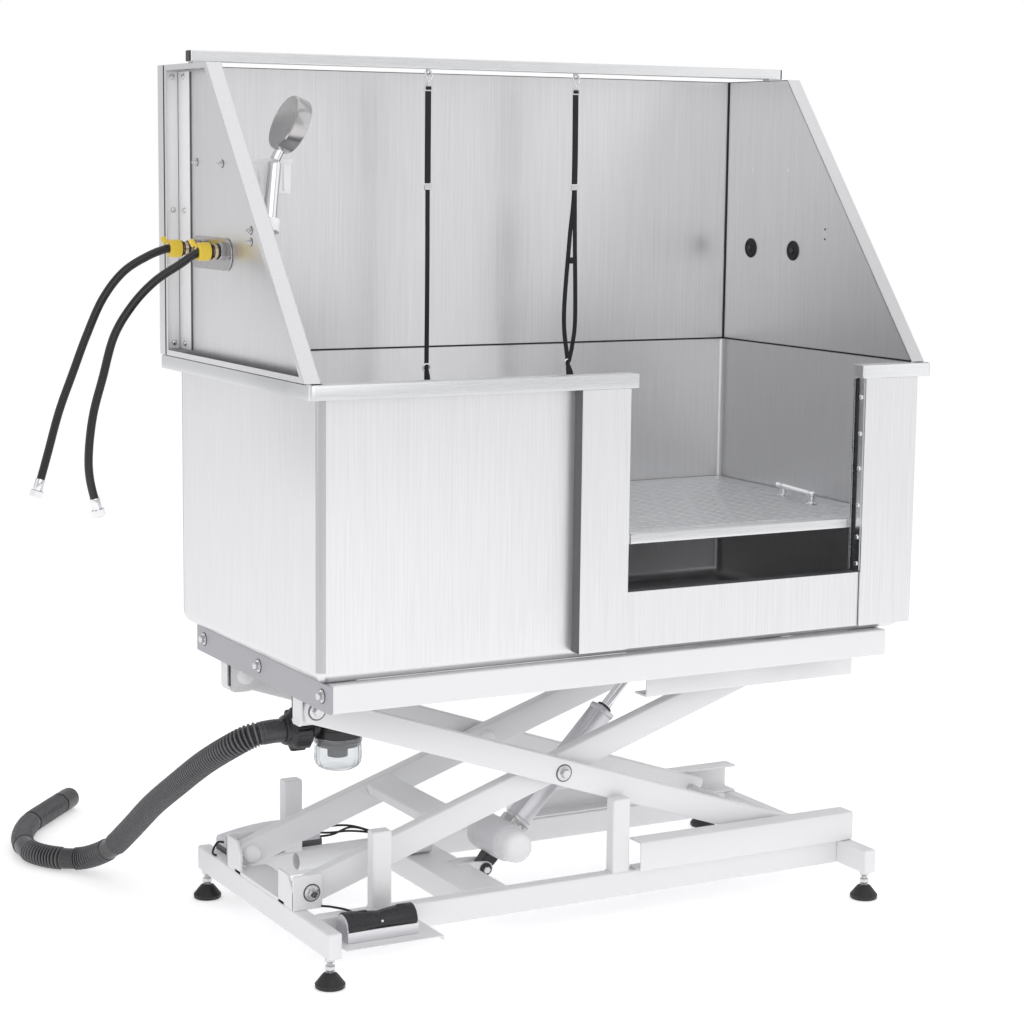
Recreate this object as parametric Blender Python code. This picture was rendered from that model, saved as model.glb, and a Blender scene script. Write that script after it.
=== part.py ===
"""Walk-in pet grooming bath on an electric scissor lift.

Metres, +Z up, +X along the bath, -Y to the operator. The origin is on the floor under the middle of the bath.
"""

import math

import bmesh
import bpy
from mathutils import Matrix, Vector

GAP = 0.0003

# Bath
RIM_LENGTH = 1.270
RIM_WIDTH = 0.690
RIM_TOP = 1.047
RIM_DROP = 0.025
RIM_OVERHANG = 0.028
SHEET = 0.002
TUB_BOTTOM = 0.5413
DOOR_LEFT = -0.022
DOOR_RIGHT = 0.486
STILE_WIDTH = 0.098
STILE_DEPTH = 0.0255
STILE_BOTTOM = 0.557
SILL_TOP = 0.659
DECK_TOP = 0.757
DECK_FLANGE = 0.017
LEDGE_BOTTOM = 0.725

# Splash guards and rail
SPLASH_TOP = 1.578
SPLASH_BOTTOM = 1.0473
SPLASH_BACK = 0.312
SPLASH_FRONT = (-0.322, 0.106)
BACK_PLATE_Y = 0.315
RAIL_Y = (0.173, 0.193)
RAIL_Z = (1.5803, 1.6003)

# Lift
ARM_HEIGHT = 0.050
ARM_WIDTH = 0.028
ARM_REACH = 0.5243
LIFT_Y = 0.005
OUTER_FACE = 0.180
INNER_FACE = 0.148
PIVOT_X = -0.547
LOWER_PIVOT_Z = 0.129
UPPER_PIVOT_Z = 0.463
ROLLER_RADIUS = 0.023
AXLE_RADIUS = 0.010
LIFT_ANGLE = math.asin((UPPER_PIVOT_Z - LOWER_PIVOT_Z) / (2 * ARM_REACH))
ROLLER_X = PIVOT_X + 2 * ARM_REACH * math.cos(LIFT_ANGLE)

# Base and upper frame
BEAM_WIDTH = 0.028
BEAM_WALL = 0.002
BASE_LEFT = -0.580
BASE_RIGHT = 0.582
BASE_FRONT = -0.296
BASE_BACK = 0.315
BASE_TOP = 0.100
BASE_BOTTOM = 0.053
LONG_BEAM_OUT = 0.210
FRAME_LEFT = -0.592
FRAME_RIGHT = 0.564
FRAME_FRONT = -0.326
FRAME_BACK = 0.278
FRAME_TOP = 0.541
FRAME_BOTTOM = 0.492
CROSS_BEAM = 0.060
POST_TOP = 0.241
POST_X = ((-0.452, -0.415), (0.041, 0.078))
TRACK_OUT = 0.227
TRACK_DEPTH = 0.042
TRACK_WALL = 0.004
FOOT_X = (-0.568, 0.569)
FOOT_Y = (-0.277, 0.295)

# Actuator
ACTUATOR_PIN = Vector((-0.137, -0.015, 0.087))
ACTUATOR_TOP = Vector((0.255, -0.015, 0.500))

# Drain
DRAIN = Vector((-0.457, -0.065, 0.0))
OUTLET_Z = 0.407


def clear_scene():
    for old in list(bpy.data.objects):
        bpy.data.objects.remove(old, do_unlink=True)


def material(name, colour, metallic, roughness):
    made = bpy.data.materials.new(name)
    made.use_nodes = True
    shader = made.node_tree.nodes["Principled BSDF"]
    shader.inputs["Base Color"].default_value = (*colour, 1.0)
    shader.inputs["Metallic"].default_value = metallic
    shader.inputs["Roughness"].default_value = roughness
    return made


def mesh_object(name, points, faces, finish):
    mesh = bpy.data.meshes.new(name)
    mesh.from_pydata([tuple(p) for p in points], [], faces)
    work = bmesh.new()
    work.from_mesh(mesh)
    bmesh.ops.recalc_face_normals(work, faces=work.faces)
    work.to_mesh(mesh)
    work.free()
    mesh.materials.append(finish)
    made = bpy.data.objects.new(name, mesh)
    bpy.context.scene.collection.objects.link(made)
    return made


def box(name, low, high, finish):
    points = [(x, y, z) for x in (low[0], high[0]) for y in (low[1], high[1]) for z in (low[2], high[2])]
    faces = [(0, 1, 3, 2), (4, 6, 7, 5), (0, 4, 5, 1), (2, 3, 7, 6), (0, 2, 6, 4), (1, 5, 7, 3)]
    return mesh_object(name, points, faces, finish)


def placed(axis, u, v, along):
    """A point from its two outline coordinates and its place along the axis."""
    return {"x": (along, u, v), "y": (u, along, v), "z": (u, v, along)}[axis]


def prism(name, outline, axis, start, end, finish):
    count = len(outline)
    points = [placed(axis, u, v, start) for u, v in outline] + [placed(axis, u, v, end) for u, v in outline]
    faces = [tuple(range(count)), tuple(range(count, 2 * count))]
    faces += [(i, (i + 1) % count, count + (i + 1) % count, count + i) for i in range(count)]
    return mesh_object(name, points, faces, finish)


def hollow_beam(name, low, high, axis, wall, finish):
    """A rectangular tube with open ends."""
    long = "xyz".index(axis)
    across = [i for i in range(3) if i != long]
    points = []
    for end in (low[long], high[long]):
        for inset in (0.0, wall):
            for a, b in ((0, 0), (1, 0), (1, 1), (0, 1)):
                point = [0.0, 0.0, 0.0]
                point[long] = end
                point[across[0]] = high[across[0]] - inset if a else low[across[0]] + inset
                point[across[1]] = high[across[1]] - inset if b else low[across[1]] + inset
                points.append(point)
    faces = []
    for i in range(4):
        j = (i + 1) % 4
        faces += [(i, j, 8 + j, 8 + i), (4 + i, 12 + i, 12 + j, 4 + j)]
        faces += [(i, 4 + i, 4 + j, j), (8 + i, 8 + j, 12 + j, 12 + i)]
    return mesh_object(name, points, faces, finish)


def lathe(name, profile, base, direction, finish, sides=16):
    """A closed solid turned from (radius, height) pairs; a profile that starts and ends off the axis is a ring."""
    turn = Vector((0, 0, 1)).rotation_difference(Vector(direction).normalized()).to_matrix()
    on_axis = profile[0][0] == 0.0 and profile[-1][0] == 0.0
    rings = profile[1:-1] if on_axis else profile
    points = []
    for radius, height in rings:
        for i in range(sides):
            angle = 2 * math.pi * i / sides
            spot = Vector((radius * math.cos(angle), radius * math.sin(angle), height))
            points.append(Vector(base) + turn @ spot)
    pairs = range(len(rings) - 1) if on_axis else range(len(rings))
    faces = []
    for ring in pairs:
        nxt = (ring + 1) % len(rings)
        for i in range(sides):
            j = (i + 1) % sides
            faces.append((ring * sides + i, ring * sides + j, nxt * sides + j, nxt * sides + i))
    if on_axis:
        first, last = len(points), len(points) + 1
        points += [Vector(base) + turn @ Vector((0, 0, profile[0][1]))]
        points += [Vector(base) + turn @ Vector((0, 0, profile[-1][1]))]
        top = (len(rings) - 1) * sides
        faces += [(first, (i + 1) % sides, i) for i in range(sides)]
        faces += [(last, top + i, top + (i + 1) % sides) for i in range(sides)]
    made = mesh_object(name, points, faces, finish)
    made.data.shade_smooth()
    made.data.set_sharp_from_angle(angle=math.radians(40))
    return made


def rod(name, start, end, radius, finish, sides=12):
    length = (Vector(end) - Vector(start)).length
    profile = [(0.0, 0.0), (radius, 0.0), (radius, length), (0.0, length)]
    return lathe(name, profile, start, Vector(end) - Vector(start), finish, sides)


def helper(tool):
    tool.hide_render = True
    tool.display_type = "WIRE"
    return tool


def combine(target, tool, operation):
    modifier = target.modifiers.new(tool.name, "BOOLEAN")
    modifier.operation = operation
    modifier.object = helper(tool)


def fuse(target, *tools):
    for tool in tools:
        combine(target, tool, "UNION")
    return target


def cut(target, *tools):
    for tool in tools:
        combine(target, tool, "DIFFERENCE")
    return target


def smooth_route(points, step):
    """Evenly spaced points on a Catmull-Rom curve through the given ones."""
    knots = [Vector(p) for p in points]
    knots = [2 * knots[0] - knots[1]] + knots + [2 * knots[-1] - knots[-2]]
    fine = []
    for a, b, c, d in zip(knots, knots[1:], knots[2:], knots[3:]):
        for i in range(24):
            t = i / 24
            fine.append(0.5 * (2 * b + (c - a) * t + (2 * a - 5 * b + 4 * c - d) * t * t
                               + (3 * b - a - 3 * c + d) * t ** 3))
    fine.append(knots[-2])
    lengths = [0.0]
    for a, b in zip(fine, fine[1:]):
        lengths.append(lengths[-1] + (b - a).length)
    count = max(2, round(lengths[-1] / step))
    spots, at = [], 0
    for i in range(count + 1):
        wanted = lengths[-1] * i / count
        while at < len(fine) - 2 and lengths[at + 1] < wanted:
            at += 1
        share = (wanted - lengths[at]) / max(lengths[at + 1] - lengths[at], 1e-9)
        spots.append(fine[at].lerp(fine[at + 1], share))
    return spots


def cord(name, route, diameter, finish, resolution=2, spacing=2.5):
    spots = smooth_route(route, diameter * spacing)
    curve = bpy.data.curves.new(name, "CURVE")
    curve.dimensions = "3D"
    curve.bevel_depth = diameter / 2
    curve.bevel_resolution = resolution
    curve.use_fill_caps = True
    line = curve.splines.new("POLY")
    line.points.add(len(spots) - 1)
    for point, spot in zip(line.points, spots):
        point.co = (*spot, 1.0)
    curve.materials.append(finish)
    made = bpy.data.objects.new(name, curve)
    bpy.context.scene.collection.objects.link(made)
    return made


def half_turn(centre, radius, start, steps=8):
    """Points of a half circle, anticlockwise from the given angle."""
    return [
        (centre[0] + radius * math.cos(start + math.pi * i / steps),
         centre[1] + radius * math.sin(start + math.pi * i / steps))
        for i in range(steps + 1)
    ]


# --- bath -------------------------------------------------------------------

BODY_X = RIM_LENGTH / 2 - RIM_OVERHANG
BODY_Y = RIM_WIDTH / 2 - RIM_OVERHANG
INNER_X = BODY_X - SHEET
INNER_Y = BODY_Y - SHEET
END_X = INNER_X - 0.001
DECK_Y = INNER_Y - 0.004
LEDGE_TOP = DECK_TOP - DECK_FLANGE - 0.0005


def rim_profile(side, outer, inner):
    """The folded rim: a flat strip with a down-turned lip, as (across, height) points."""
    return [
        (side * outer, RIM_TOP - RIM_DROP),
        (side * (outer - SHEET), RIM_TOP - RIM_DROP),
        (side * (outer - SHEET), RIM_TOP - SHEET),
        (side * inner, RIM_TOP - SHEET),
        (side * inner, RIM_TOP),
        (side * outer, RIM_TOP),
    ]


def end_wall(name, side, steel):
    near, far = sorted((side * INNER_X, side * BODY_X))
    wall = box(name, (near, -BODY_Y, TUB_BOTTOM), (far, BODY_Y, RIM_TOP - SHEET / 2), steel)
    rim = prism(name + "_rim", rim_profile(side, RIM_LENGTH / 2, INNER_X - 0.0005), "y",
                -RIM_WIDTH / 2, RIM_WIDTH / 2, steel)
    near, far = sorted((side * (INNER_X - 0.015), side * (INNER_X + SHEET / 2)))
    ledge = box(name + "_ledge", (near, -0.28, LEDGE_BOTTOM), (far, 0.28, LEDGE_TOP), steel)
    return fuse(wall, rim, ledge)


def back_wall(steel):
    wall = box("tub_back_wall", (-END_X, INNER_Y, TUB_BOTTOM), (END_X, BODY_Y, RIM_TOP - SHEET / 2), steel)
    rim = prism("back_rim", rim_profile(1, RIM_WIDTH / 2, INNER_Y - 0.0005), "x",
                -END_X - GAP, END_X + GAP, steel)
    ledge = box("back_ledge", (-0.57, INNER_Y - 0.015, LEDGE_BOTTOM), (0.57, INNER_Y + SHEET / 2, LEDGE_TOP), steel)
    return fuse(wall, rim, ledge)


def front_panel(name, left, right, top, steel):
    return box(name, (left, -BODY_Y, TUB_BOTTOM), (right, -INNER_Y, top), steel)


def pocket(name, left, right, depth, top, steel):
    """A folded box that stands out from the front, open below."""
    front = -BODY_Y - depth
    shell = box(name, (left, front, STILE_BOTTOM), (right, -BODY_Y + SHEET / 4, top), steel)
    hollow = box(name + "_hollow", (left + SHEET, front + SHEET, STILE_BOTTOM - 0.01),
                 (right - SHEET, -BODY_Y - SHEET / 4, top - SHEET), steel)
    return cut(shell, hollow)


def front_walls(steel):
    stile_top = RIM_TOP - RIM_DROP - GAP
    rim = rim_profile(-1, RIM_WIDTH / 2, INNER_Y - 0.0005)
    left = front_panel("tub_front_left", -END_X, DOOR_LEFT - 0.0005, RIM_TOP - SHEET / 2, steel)
    ledge = box("front_ledge", (-0.57, -INNER_Y - SHEET / 2, LEDGE_BOTTOM),
                (-0.05, -INNER_Y + 0.015, LEDGE_TOP), steel)
    fuse(left, prism("front_rim", rim, "x", -END_X - GAP, DOOR_LEFT + 0.014, steel), ledge,
         pocket("left_stile", DOOR_LEFT - STILE_WIDTH, DOOR_LEFT, STILE_DEPTH, stile_top, steel))
    right = front_panel("tub_front_right", DOOR_RIGHT + 0.0005, END_X - 0.0005, RIM_TOP - SHEET / 2, steel)
    fuse(right, prism("front_rim_right", rim, "x", DOOR_RIGHT - 0.008, END_X + GAP, steel),
         pocket("right_stile", DOOR_RIGHT, END_X, STILE_DEPTH, stile_top, steel))
    sill = front_panel("door_sill", DOOR_LEFT + 0.001, DOOR_RIGHT - 0.001, SILL_TOP - SHEET / 2, steel)
    fuse(sill, pocket("sill_box", DOOR_LEFT + GAP, DOOR_RIGHT - GAP, STILE_DEPTH - 0.0045, SILL_TOP, steel))


def pan(steel):
    floor = box("tub_floor_pan", (-INNER_X + GAP, -INNER_Y + GAP, TUB_BOTTOM),
                (INNER_X - GAP, INNER_Y - GAP, TUB_BOTTOM + SHEET), steel)
    cut(floor, rod("drain_hole", DRAIN + Vector((0, 0, TUB_BOTTOM - 0.01)),
                   DRAIN + Vector((0, 0, TUB_BOTTOM + 0.01)), 0.025, steel, 16))


def deck(name, left, right, steel):
    """A raised floor panel: a shallow tray turned upside down."""
    low, high = (left, -DECK_Y, DECK_TOP - DECK_FLANGE), (right, DECK_Y, DECK_TOP)
    tray = box(name, low, high, steel)
    hollow = box(name + "_hollow", (low[0] + SHEET, low[1] + SHEET, low[2] - 0.01),
                 (high[0] - SHEET, high[1] - SHEET, high[2] - SHEET), steel)
    cut(tray, hollow)


def bath(steel):
    end_wall("tub_left_wall", -1, steel)
    end_wall("tub_right_wall", 1, steel)
    back_wall(steel)
    front_walls(steel)
    pan(steel)
    deck("floor_panel_left", -INNER_X + 0.003, -0.001, steel)
    deck("floor_panel_right", 0.001, INNER_X - 0.003, steel)


# --- splash guards ----------------------------------------------------------

def side_splash(name, side, steel):
    """A trapezium tray with its open side outwards."""
    bottom_front, top_front = SPLASH_FRONT
    outline = [(bottom_front, SPLASH_BOTTOM), (SPLASH_BACK, SPLASH_BOTTOM), (SPLASH_BACK, SPLASH_TOP),
               (top_front, SPLASH_TOP)]
    near, far = side * INNER_X, side * RIM_LENGTH / 2
    tray = prism(name, outline, "x", near, far, steel)
    height, run = SPLASH_TOP - SPLASH_BOTTOM, top_front - bottom_front
    shift, slip = SHEET * math.hypot(height, run) / height, SHEET * run / height
    inner = [(bottom_front + shift + slip, SPLASH_BOTTOM + SHEET), (SPLASH_BACK - SHEET, SPLASH_BOTTOM + SHEET),
             (SPLASH_BACK - SHEET, SPLASH_TOP - SHEET), (top_front + shift - slip, SPLASH_TOP - SHEET)]
    hollow = prism(name + "_hollow", inner, "x", near + side * SHEET, far + side * 0.01, steel)
    return cut(tray, hollow)


def splash_guards(steel):
    side_splash("splash_panel_left", -1, steel)
    side_splash("splash_panel_right", 1, steel)
    low = (-RIM_LENGTH / 2, BACK_PLATE_Y, SPLASH_BOTTOM)
    high = (RIM_LENGTH / 2, RIM_WIDTH / 2, SPLASH_TOP)
    tray = box("splash_panel_back", low, high, steel)
    hollow = box("back_hollow", (low[0] + SHEET, low[1] + SHEET, low[2] + SHEET),
                 (high[0] - SHEET, high[1] + 0.01, high[2] - SHEET), steel)
    cut(tray, hollow)
    rail = hollow_beam("top_rail", (-RIM_LENGTH / 2 - 0.002, RAIL_Y[0], RAIL_Z[0]),
                       (RIM_LENGTH / 2 + 0.002, RAIL_Y[1], RAIL_Z[1]), "x", SHEET, steel)
    feet = [box("rail_foot_%d" % i, (x, RAIL_Y[0] + 0.002, SPLASH_TOP + GAP),
                (x + 0.018, RAIL_Y[1] - 0.002, RAIL_Z[0] + 0.001), steel) for i, x in enumerate((-0.629, 0.611))]
    fuse(rail, *feet)


# --- upper frame ------------------------------------------------------------

def track(side, low, high):
    """Outline of a C channel whose web faces away from the lift."""
    web, tip = LIFT_Y + side * TRACK_OUT, LIFT_Y + side * (TRACK_OUT - TRACK_DEPTH)
    inner = web - side * TRACK_WALL
    return [(tip, low), (web, low), (web, high), (tip, high), (tip, high - TRACK_WALL),
            (inner, high - TRACK_WALL), (inner, low + TRACK_WALL), (tip, low + TRACK_WALL)]


def upper_bracket(label, side, white):
    """A folded plate: a flange beside the arm and a web behind its end."""
    beam, low = FRAME_BOTTOM + BEAM_WALL / 2, UPPER_PIVOT_Z - 0.031
    face = LIFT_Y + side * (OUTER_FACE - ARM_WIDTH - 0.001)
    left, right = PIVOT_X - 0.033, PIVOT_X + 0.027
    outline = [(left, beam), (left, low + 0.010), (left + 0.010, low), (right - 0.016, low),
               (right, low + 0.016), (right, beam)]
    flange = prism("upper_flange_" + label, outline, "y", *sorted((face, face - side * 0.006)), white)
    near, far = sorted((face - side * 0.001, LIFT_Y + side * (OUTER_FACE + 0.003)))
    web = box("upper_web_" + label, (left + 0.0005, near, low + 0.012), (left + 0.005, far, beam - 0.0002), white)
    return [flange, web]


def upper_frame(white, grey):
    inside_front, inside_back = FRAME_FRONT + BEAM_WIDTH, FRAME_BACK - BEAM_WIDTH
    beam_left = FRAME_LEFT + 0.006
    for label, low_y in (("front", FRAME_FRONT), ("back", inside_back)):
        hollow_beam("upper_%s_beam" % label, (beam_left + GAP, low_y, FRAME_BOTTOM),
                    (FRAME_RIGHT, low_y + BEAM_WIDTH, FRAME_TOP), "x", BEAM_WALL, white)
    left = hollow_beam("upper_left_beam", (beam_left + GAP, inside_front + GAP, FRAME_BOTTOM),
                       (beam_left + CROSS_BEAM, inside_back - GAP, FRAME_TOP - GAP), "y", BEAM_WALL, white)
    fuse(left, *upper_bracket("front", -1, white), *upper_bracket("back", 1, white))
    box("upper_end_plate", (FRAME_LEFT, FRAME_FRONT, FRAME_BOTTOM), (beam_left, FRAME_BACK, FRAME_TOP), grey)
    hollow_beam("upper_right_beam", (FRAME_RIGHT - CROSS_BEAM, inside_front + GAP, FRAME_BOTTOM),
                (FRAME_RIGHT, inside_back - GAP, FRAME_TOP - GAP), "y", BEAM_WALL, white)
    beam_x = ACTUATOR_TOP.x + 0.0303
    middle = hollow_beam("upper_middle_beam", (beam_x, inside_front + GAP, FRAME_BOTTOM),
                         (beam_x + CROSS_BEAM, inside_back - GAP, FRAME_TOP - GAP), "y", BEAM_WALL, white)
    cheeks = [box("cheek_%d" % i, (beam_x - 0.050, y, FRAME_BOTTOM - 0.012), (beam_x + 0.001, y + 0.006, 0.520),
                  white) for i, y in enumerate((-0.050, 0.014))]
    fuse(middle, *cheeks)
    for label, side in (("front", -1), ("back", 1)):
        prism("upper_track_" + label, track(side, 0.433, FRAME_BOTTOM - GAP), "x", 0.097, FRAME_RIGHT, white)


# --- base -------------------------------------------------------------------

def lower_yoke(white):
    """The two lower pivot brackets and the folded plate that ties them."""
    left, right = PIVOT_X - 0.035, PIVOT_X + 0.021
    bottom, top = BASE_TOP + GAP, LOWER_PIVOT_Z + 0.034
    pieces = []
    for side, label in ((-1, "front"), (1, "back")):
        face = LIFT_Y + side * (INNER_FACE + 0.003)
        flange = box("lower_flange_" + label, (left, min(face, face + side * 0.006), bottom),
                     (right, max(face, face + side * 0.006), top), white)
        near, far = sorted((LIFT_Y + side * 0.095, face + side * 0.005))
        web = box("lower_web_" + label, (left + 0.0005, near, bottom + 0.0002), (left + 0.005, far, top - 0.002), white)
        pieces += [flange, web]
    tie = box("lower_pivot_yoke", (left + 0.0002, LIFT_Y - 0.115, bottom + 0.0001),
              (right + 0.010, LIFT_Y + 0.115, bottom + 0.0065), white)
    return fuse(tie, *pieces)


def cross_beam(name, left, right, foot_x, white):
    """A base beam that takes two levelling feet through its underside."""
    beam = hollow_beam(name, (left, BASE_FRONT, BASE_BOTTOM), (right, BASE_BACK, BASE_TOP), "y", BEAM_WALL, white)
    holes = [rod("%s_hole_%d" % (name, i), (foot_x, y, BASE_BOTTOM - 0.01), (foot_x, y, BASE_BOTTOM + 0.01),
                 0.0065, white, 12) for i, y in enumerate(FOOT_Y)]
    return cut(beam, *holes)


def base_frame(white):
    left_inner, right_inner = BASE_LEFT + BEAM_WIDTH - 0.001, BASE_RIGHT - BEAM_WIDTH + 0.001
    cross_beam("base_left_beam", BASE_LEFT, left_inner, FOOT_X[0], white)
    cross_beam("base_right_beam", right_inner, BASE_RIGHT, FOOT_X[1], white)
    for side, label in ((-1, "front"), (1, "back")):
        low, high = sorted((LIFT_Y + side * LONG_BEAM_OUT, LIFT_Y + side * (LONG_BEAM_OUT - BEAM_WIDTH)))
        beam = hollow_beam("base_%s_beam" % label, (left_inner + GAP, low, BASE_BOTTOM),
                           (right_inner - GAP, high, BASE_TOP), "x", BEAM_WALL, white)
        posts = [box("post_%s_%d" % (label, i), (x0, low + 0.0003, BASE_TOP - BEAM_WALL / 2),
                     (x1, high - 0.0003, POST_TOP), white) for i, (x0, x1) in enumerate(POST_X)]
        fuse(beam, *posts)
        prism("lower_track_" + label, track(side, BASE_TOP + GAP, 0.1573), "x", 0.092, 0.579, white)
    inside = LONG_BEAM_OUT - BEAM_WIDTH - GAP
    middle = hollow_beam("base_middle_beam", (-0.255, LIFT_Y - inside, BASE_BOTTOM + 0.001),
                         (-0.169, LIFT_Y + inside, BASE_TOP), "y", BEAM_WALL, white)
    outline = [(-0.170, 0.070), (-0.132, 0.073), (-0.122, 0.080), (-0.122, 0.094), (-0.132, 0.099), (-0.170, 0.099)]
    fuse(middle, *[prism("lug_%d" % i, outline, "y", y, y + 0.006, white) for i, y in enumerate((-0.035, -0.001))])
    lower_yoke(white)
    lathe("cable_conduit", [(0.0155, 0.0), (0.0175, 0.0), (0.0175, 0.277), (0.0155, 0.277)],
          (-0.477, 0.077, 0.118), (1, 0, 0), white, 14)


def foot(name, x, y, black):
    """A levelling foot: a moulded pad on a threaded stem."""
    profile = [(0.0, 0.0), (0.026, 0.0), (0.026, 0.007), (0.012, 0.026), (0.0085, 0.028), (0.0085, 0.036),
               (0.0055, 0.036), (0.0055, 0.085), (0.0, 0.085)]
    lathe(name, profile, (x, y, 0.0), (0, 0, 1), black, 14)


# --- scissor arms -----------------------------------------------------------

def arm(name, pivot, roller, low_y, high_y, white):
    """A hollow arm, rounded at its pivot and open past its roller."""
    along = Vector((roller[0] - pivot[0], roller[1] - pivot[1])).normalized()
    up = Vector((-along.y, along.x))
    half, length = ARM_HEIGHT / 2, 2 * ARM_REACH + 0.026
    outline = half_turn(pivot, half, math.atan2(along.y, along.x) + math.pi / 2)
    for distance, side in ((length - 0.010, -half), (length, 0.010 - half), (length, half - 0.010),
                           (length - 0.010, half)):
        spot = Vector(pivot) + along * distance + up * side
        outline.append((spot.x, spot.y))
    made = prism(name, outline, "y", low_y, high_y, white)
    corners = []
    for distance, side in ((0.030, -1), (length + 0.02, -1), (length + 0.02, 1), (0.030, 1)):
        spot = Vector(pivot) + along * distance + up * side * (half - 0.012)
        corners.append((spot.x, spot.y))
    hollow = prism(name + "_hollow", corners, "y", low_y + BEAM_WALL, high_y - BEAM_WALL, white)
    bore = rod(name + "_bore", (roller[0], low_y - 0.01, roller[1]), (roller[0], high_y + 0.01, roller[1]),
               AXLE_RADIUS + 0.001, white, 16)
    return cut(made, hollow, bore)


def roller_axle(name, height, steel):
    """An axle with a roller on each end."""
    end, inner = TRACK_OUT - 0.007, OUTER_FACE + 0.011
    profile = [(0.0, -end), (ROLLER_RADIUS, -end), (ROLLER_RADIUS, -inner), (AXLE_RADIUS, -inner),
               (AXLE_RADIUS, inner), (ROLLER_RADIUS, inner), (ROLLER_RADIUS, end), (0.0, end)]
    lathe(name, profile, (ROLLER_X, LIFT_Y, height), (0, 1, 0), steel, 16)


def scissor(white, steel):
    for side, label in ((-1, "front"), (1, "back")):
        low_y, high_y = sorted((LIFT_Y + side * OUTER_FACE, LIFT_Y + side * (OUTER_FACE - ARM_WIDTH)))
        arm("outer_arm_" + label, (PIVOT_X, UPPER_PIVOT_Z), (ROLLER_X, LOWER_PIVOT_Z), low_y, high_y, white)
        low_y, high_y = sorted((LIFT_Y + side * INNER_FACE, LIFT_Y + side * (INNER_FACE - ARM_WIDTH)))
        arm("inner_arm_" + label, (PIVOT_X, LOWER_PIVOT_Z), (ROLLER_X, UPPER_PIVOT_Z), low_y, high_y, white)
    along = Vector((math.cos(LIFT_ANGLE), math.sin(LIFT_ANGLE)))
    up = Vector((-along.y, along.x))
    start = Vector((PIVOT_X, LOWER_PIVOT_Z)) + along * 0.256 + up * ARM_HEIGHT / 2
    corners = [start, start + along * 0.052, start + along * 0.052 - up * 0.022, start - up * 0.022]
    inside = INNER_FACE - ARM_WIDTH - GAP
    prism("inner_cross_tube", [tuple(c) for c in corners], "y", LIFT_Y - inside, LIFT_Y + inside, white)
    roller_axle("lower_roller_axle", LOWER_PIVOT_Z, steel)
    roller_axle("upper_roller_axle", UPPER_PIVOT_Z, steel)


# --- actuator ---------------------------------------------------------------

def beside_axis(along, across):
    """Gives the X, Z of a spot from its distance along the actuator and its height above the axis."""
    def at(distance, height):
        spot = ACTUATOR_PIN + along * distance + across * height
        return spot.x, spot.z
    return at


def actuator(grey, steel):
    along = (ACTUATOR_TOP - ACTUATOR_PIN).normalized()
    at = beside_axis(along, Vector((-along.z, 0.0, along.x)))
    y = ACTUATOR_PIN.y
    body = prism("actuator_body", [at(0.085, -0.018), at(0.386, -0.018), at(0.386, 0.018), at(0.085, 0.018)],
                 "y", y - 0.018, y + 0.018, grey)
    collar = prism("actuator_collar", [at(0.060, -0.022), at(0.112, -0.022), at(0.112, 0.022), at(0.060, 0.022)],
                   "y", y - 0.022, y + 0.022, grey)
    neck = prism("actuator_neck", [at(-0.010, -0.010), at(0.050, -0.014), at(0.050, 0.014), at(-0.010, 0.010)],
                 "y", y - 0.0125, y + 0.0125, grey)
    motor = lathe("actuator_motor", [(0.0, 0.0), (0.033, 0.0), (0.036, 0.003), (0.036, 0.112), (0.031, 0.118),
                                     (0.031, 0.140), (0.025, 0.150), (0.012, 0.1525), (0.0, 0.153)],
                  (-0.105, 0.040, 0.142), (0, -1, 0), grey, 18)
    fuse(body, collar, neck, motor)
    cut(body, rod("actuator_bore", ACTUATOR_PIN + along * 0.120, ACTUATOR_PIN + along * 0.400, 0.012, grey, 12))
    shaft = rod("actuator_rod", ACTUATOR_PIN + along * 0.272, ACTUATOR_TOP - along * 0.006, 0.010, steel, 12)
    eye = lathe("rod_eye", [(0.0, -0.027), (0.006, -0.027), (0.006, -0.0125), (0.0135, -0.0125), (0.0135, 0.0125),
                            (0.006, 0.0125), (0.006, 0.027), (0.0, 0.027)], ACTUATOR_TOP, (0, 1, 0), steel, 16)
    fuse(shaft, eye)


# --- electrics --------------------------------------------------------------

PEDAL_CENTRE = Vector((-0.468, -0.2565, 0.0))


def on_tray(made):
    """Sets a piece that was built about the pedal's middle on the tray."""
    made.data.transform(Matrix.Translation(PEDAL_CENTRE))
    return made


def electrics(white, grey, black, aluminium):
    box("control_box", (-0.5525, 0.2185, 0.060), (-0.360, 0.290, 0.140), grey)
    prism("pedal_tray", [(-0.5525, 0.071), (-0.5525, 0.073), (-0.365, 0.073), (-0.365, 0.064),
                         (-0.367, 0.064), (-0.367, 0.071)], "y", -0.312, -0.2056, white)
    base = on_tray(prism("pedal_base", [(-0.025, 0.0733), (-0.025, 0.0925), (-0.022, 0.0925), (-0.022, 0.0765),
                                       (0.022, 0.0765), (0.022, 0.0925), (0.025, 0.0925), (0.025, 0.0733)],
                        "x", -0.068, 0.068, aluminium))
    ends = [on_tray(box("pedal_end_%d" % i, (x, -0.0245, 0.0735), (x + 0.004, 0.0245, 0.0920), aluminium))
            for i, x in enumerate((-0.0675, 0.0635))]
    fuse(base, *ends)
    outline = half_turn((0.0, 0.0965), 0.0255, 0.0, 12)
    on_tray(prism("pedal_rocker", outline, "x", -0.066, 0.066, black))


# --- water ------------------------------------------------------------------

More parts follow.
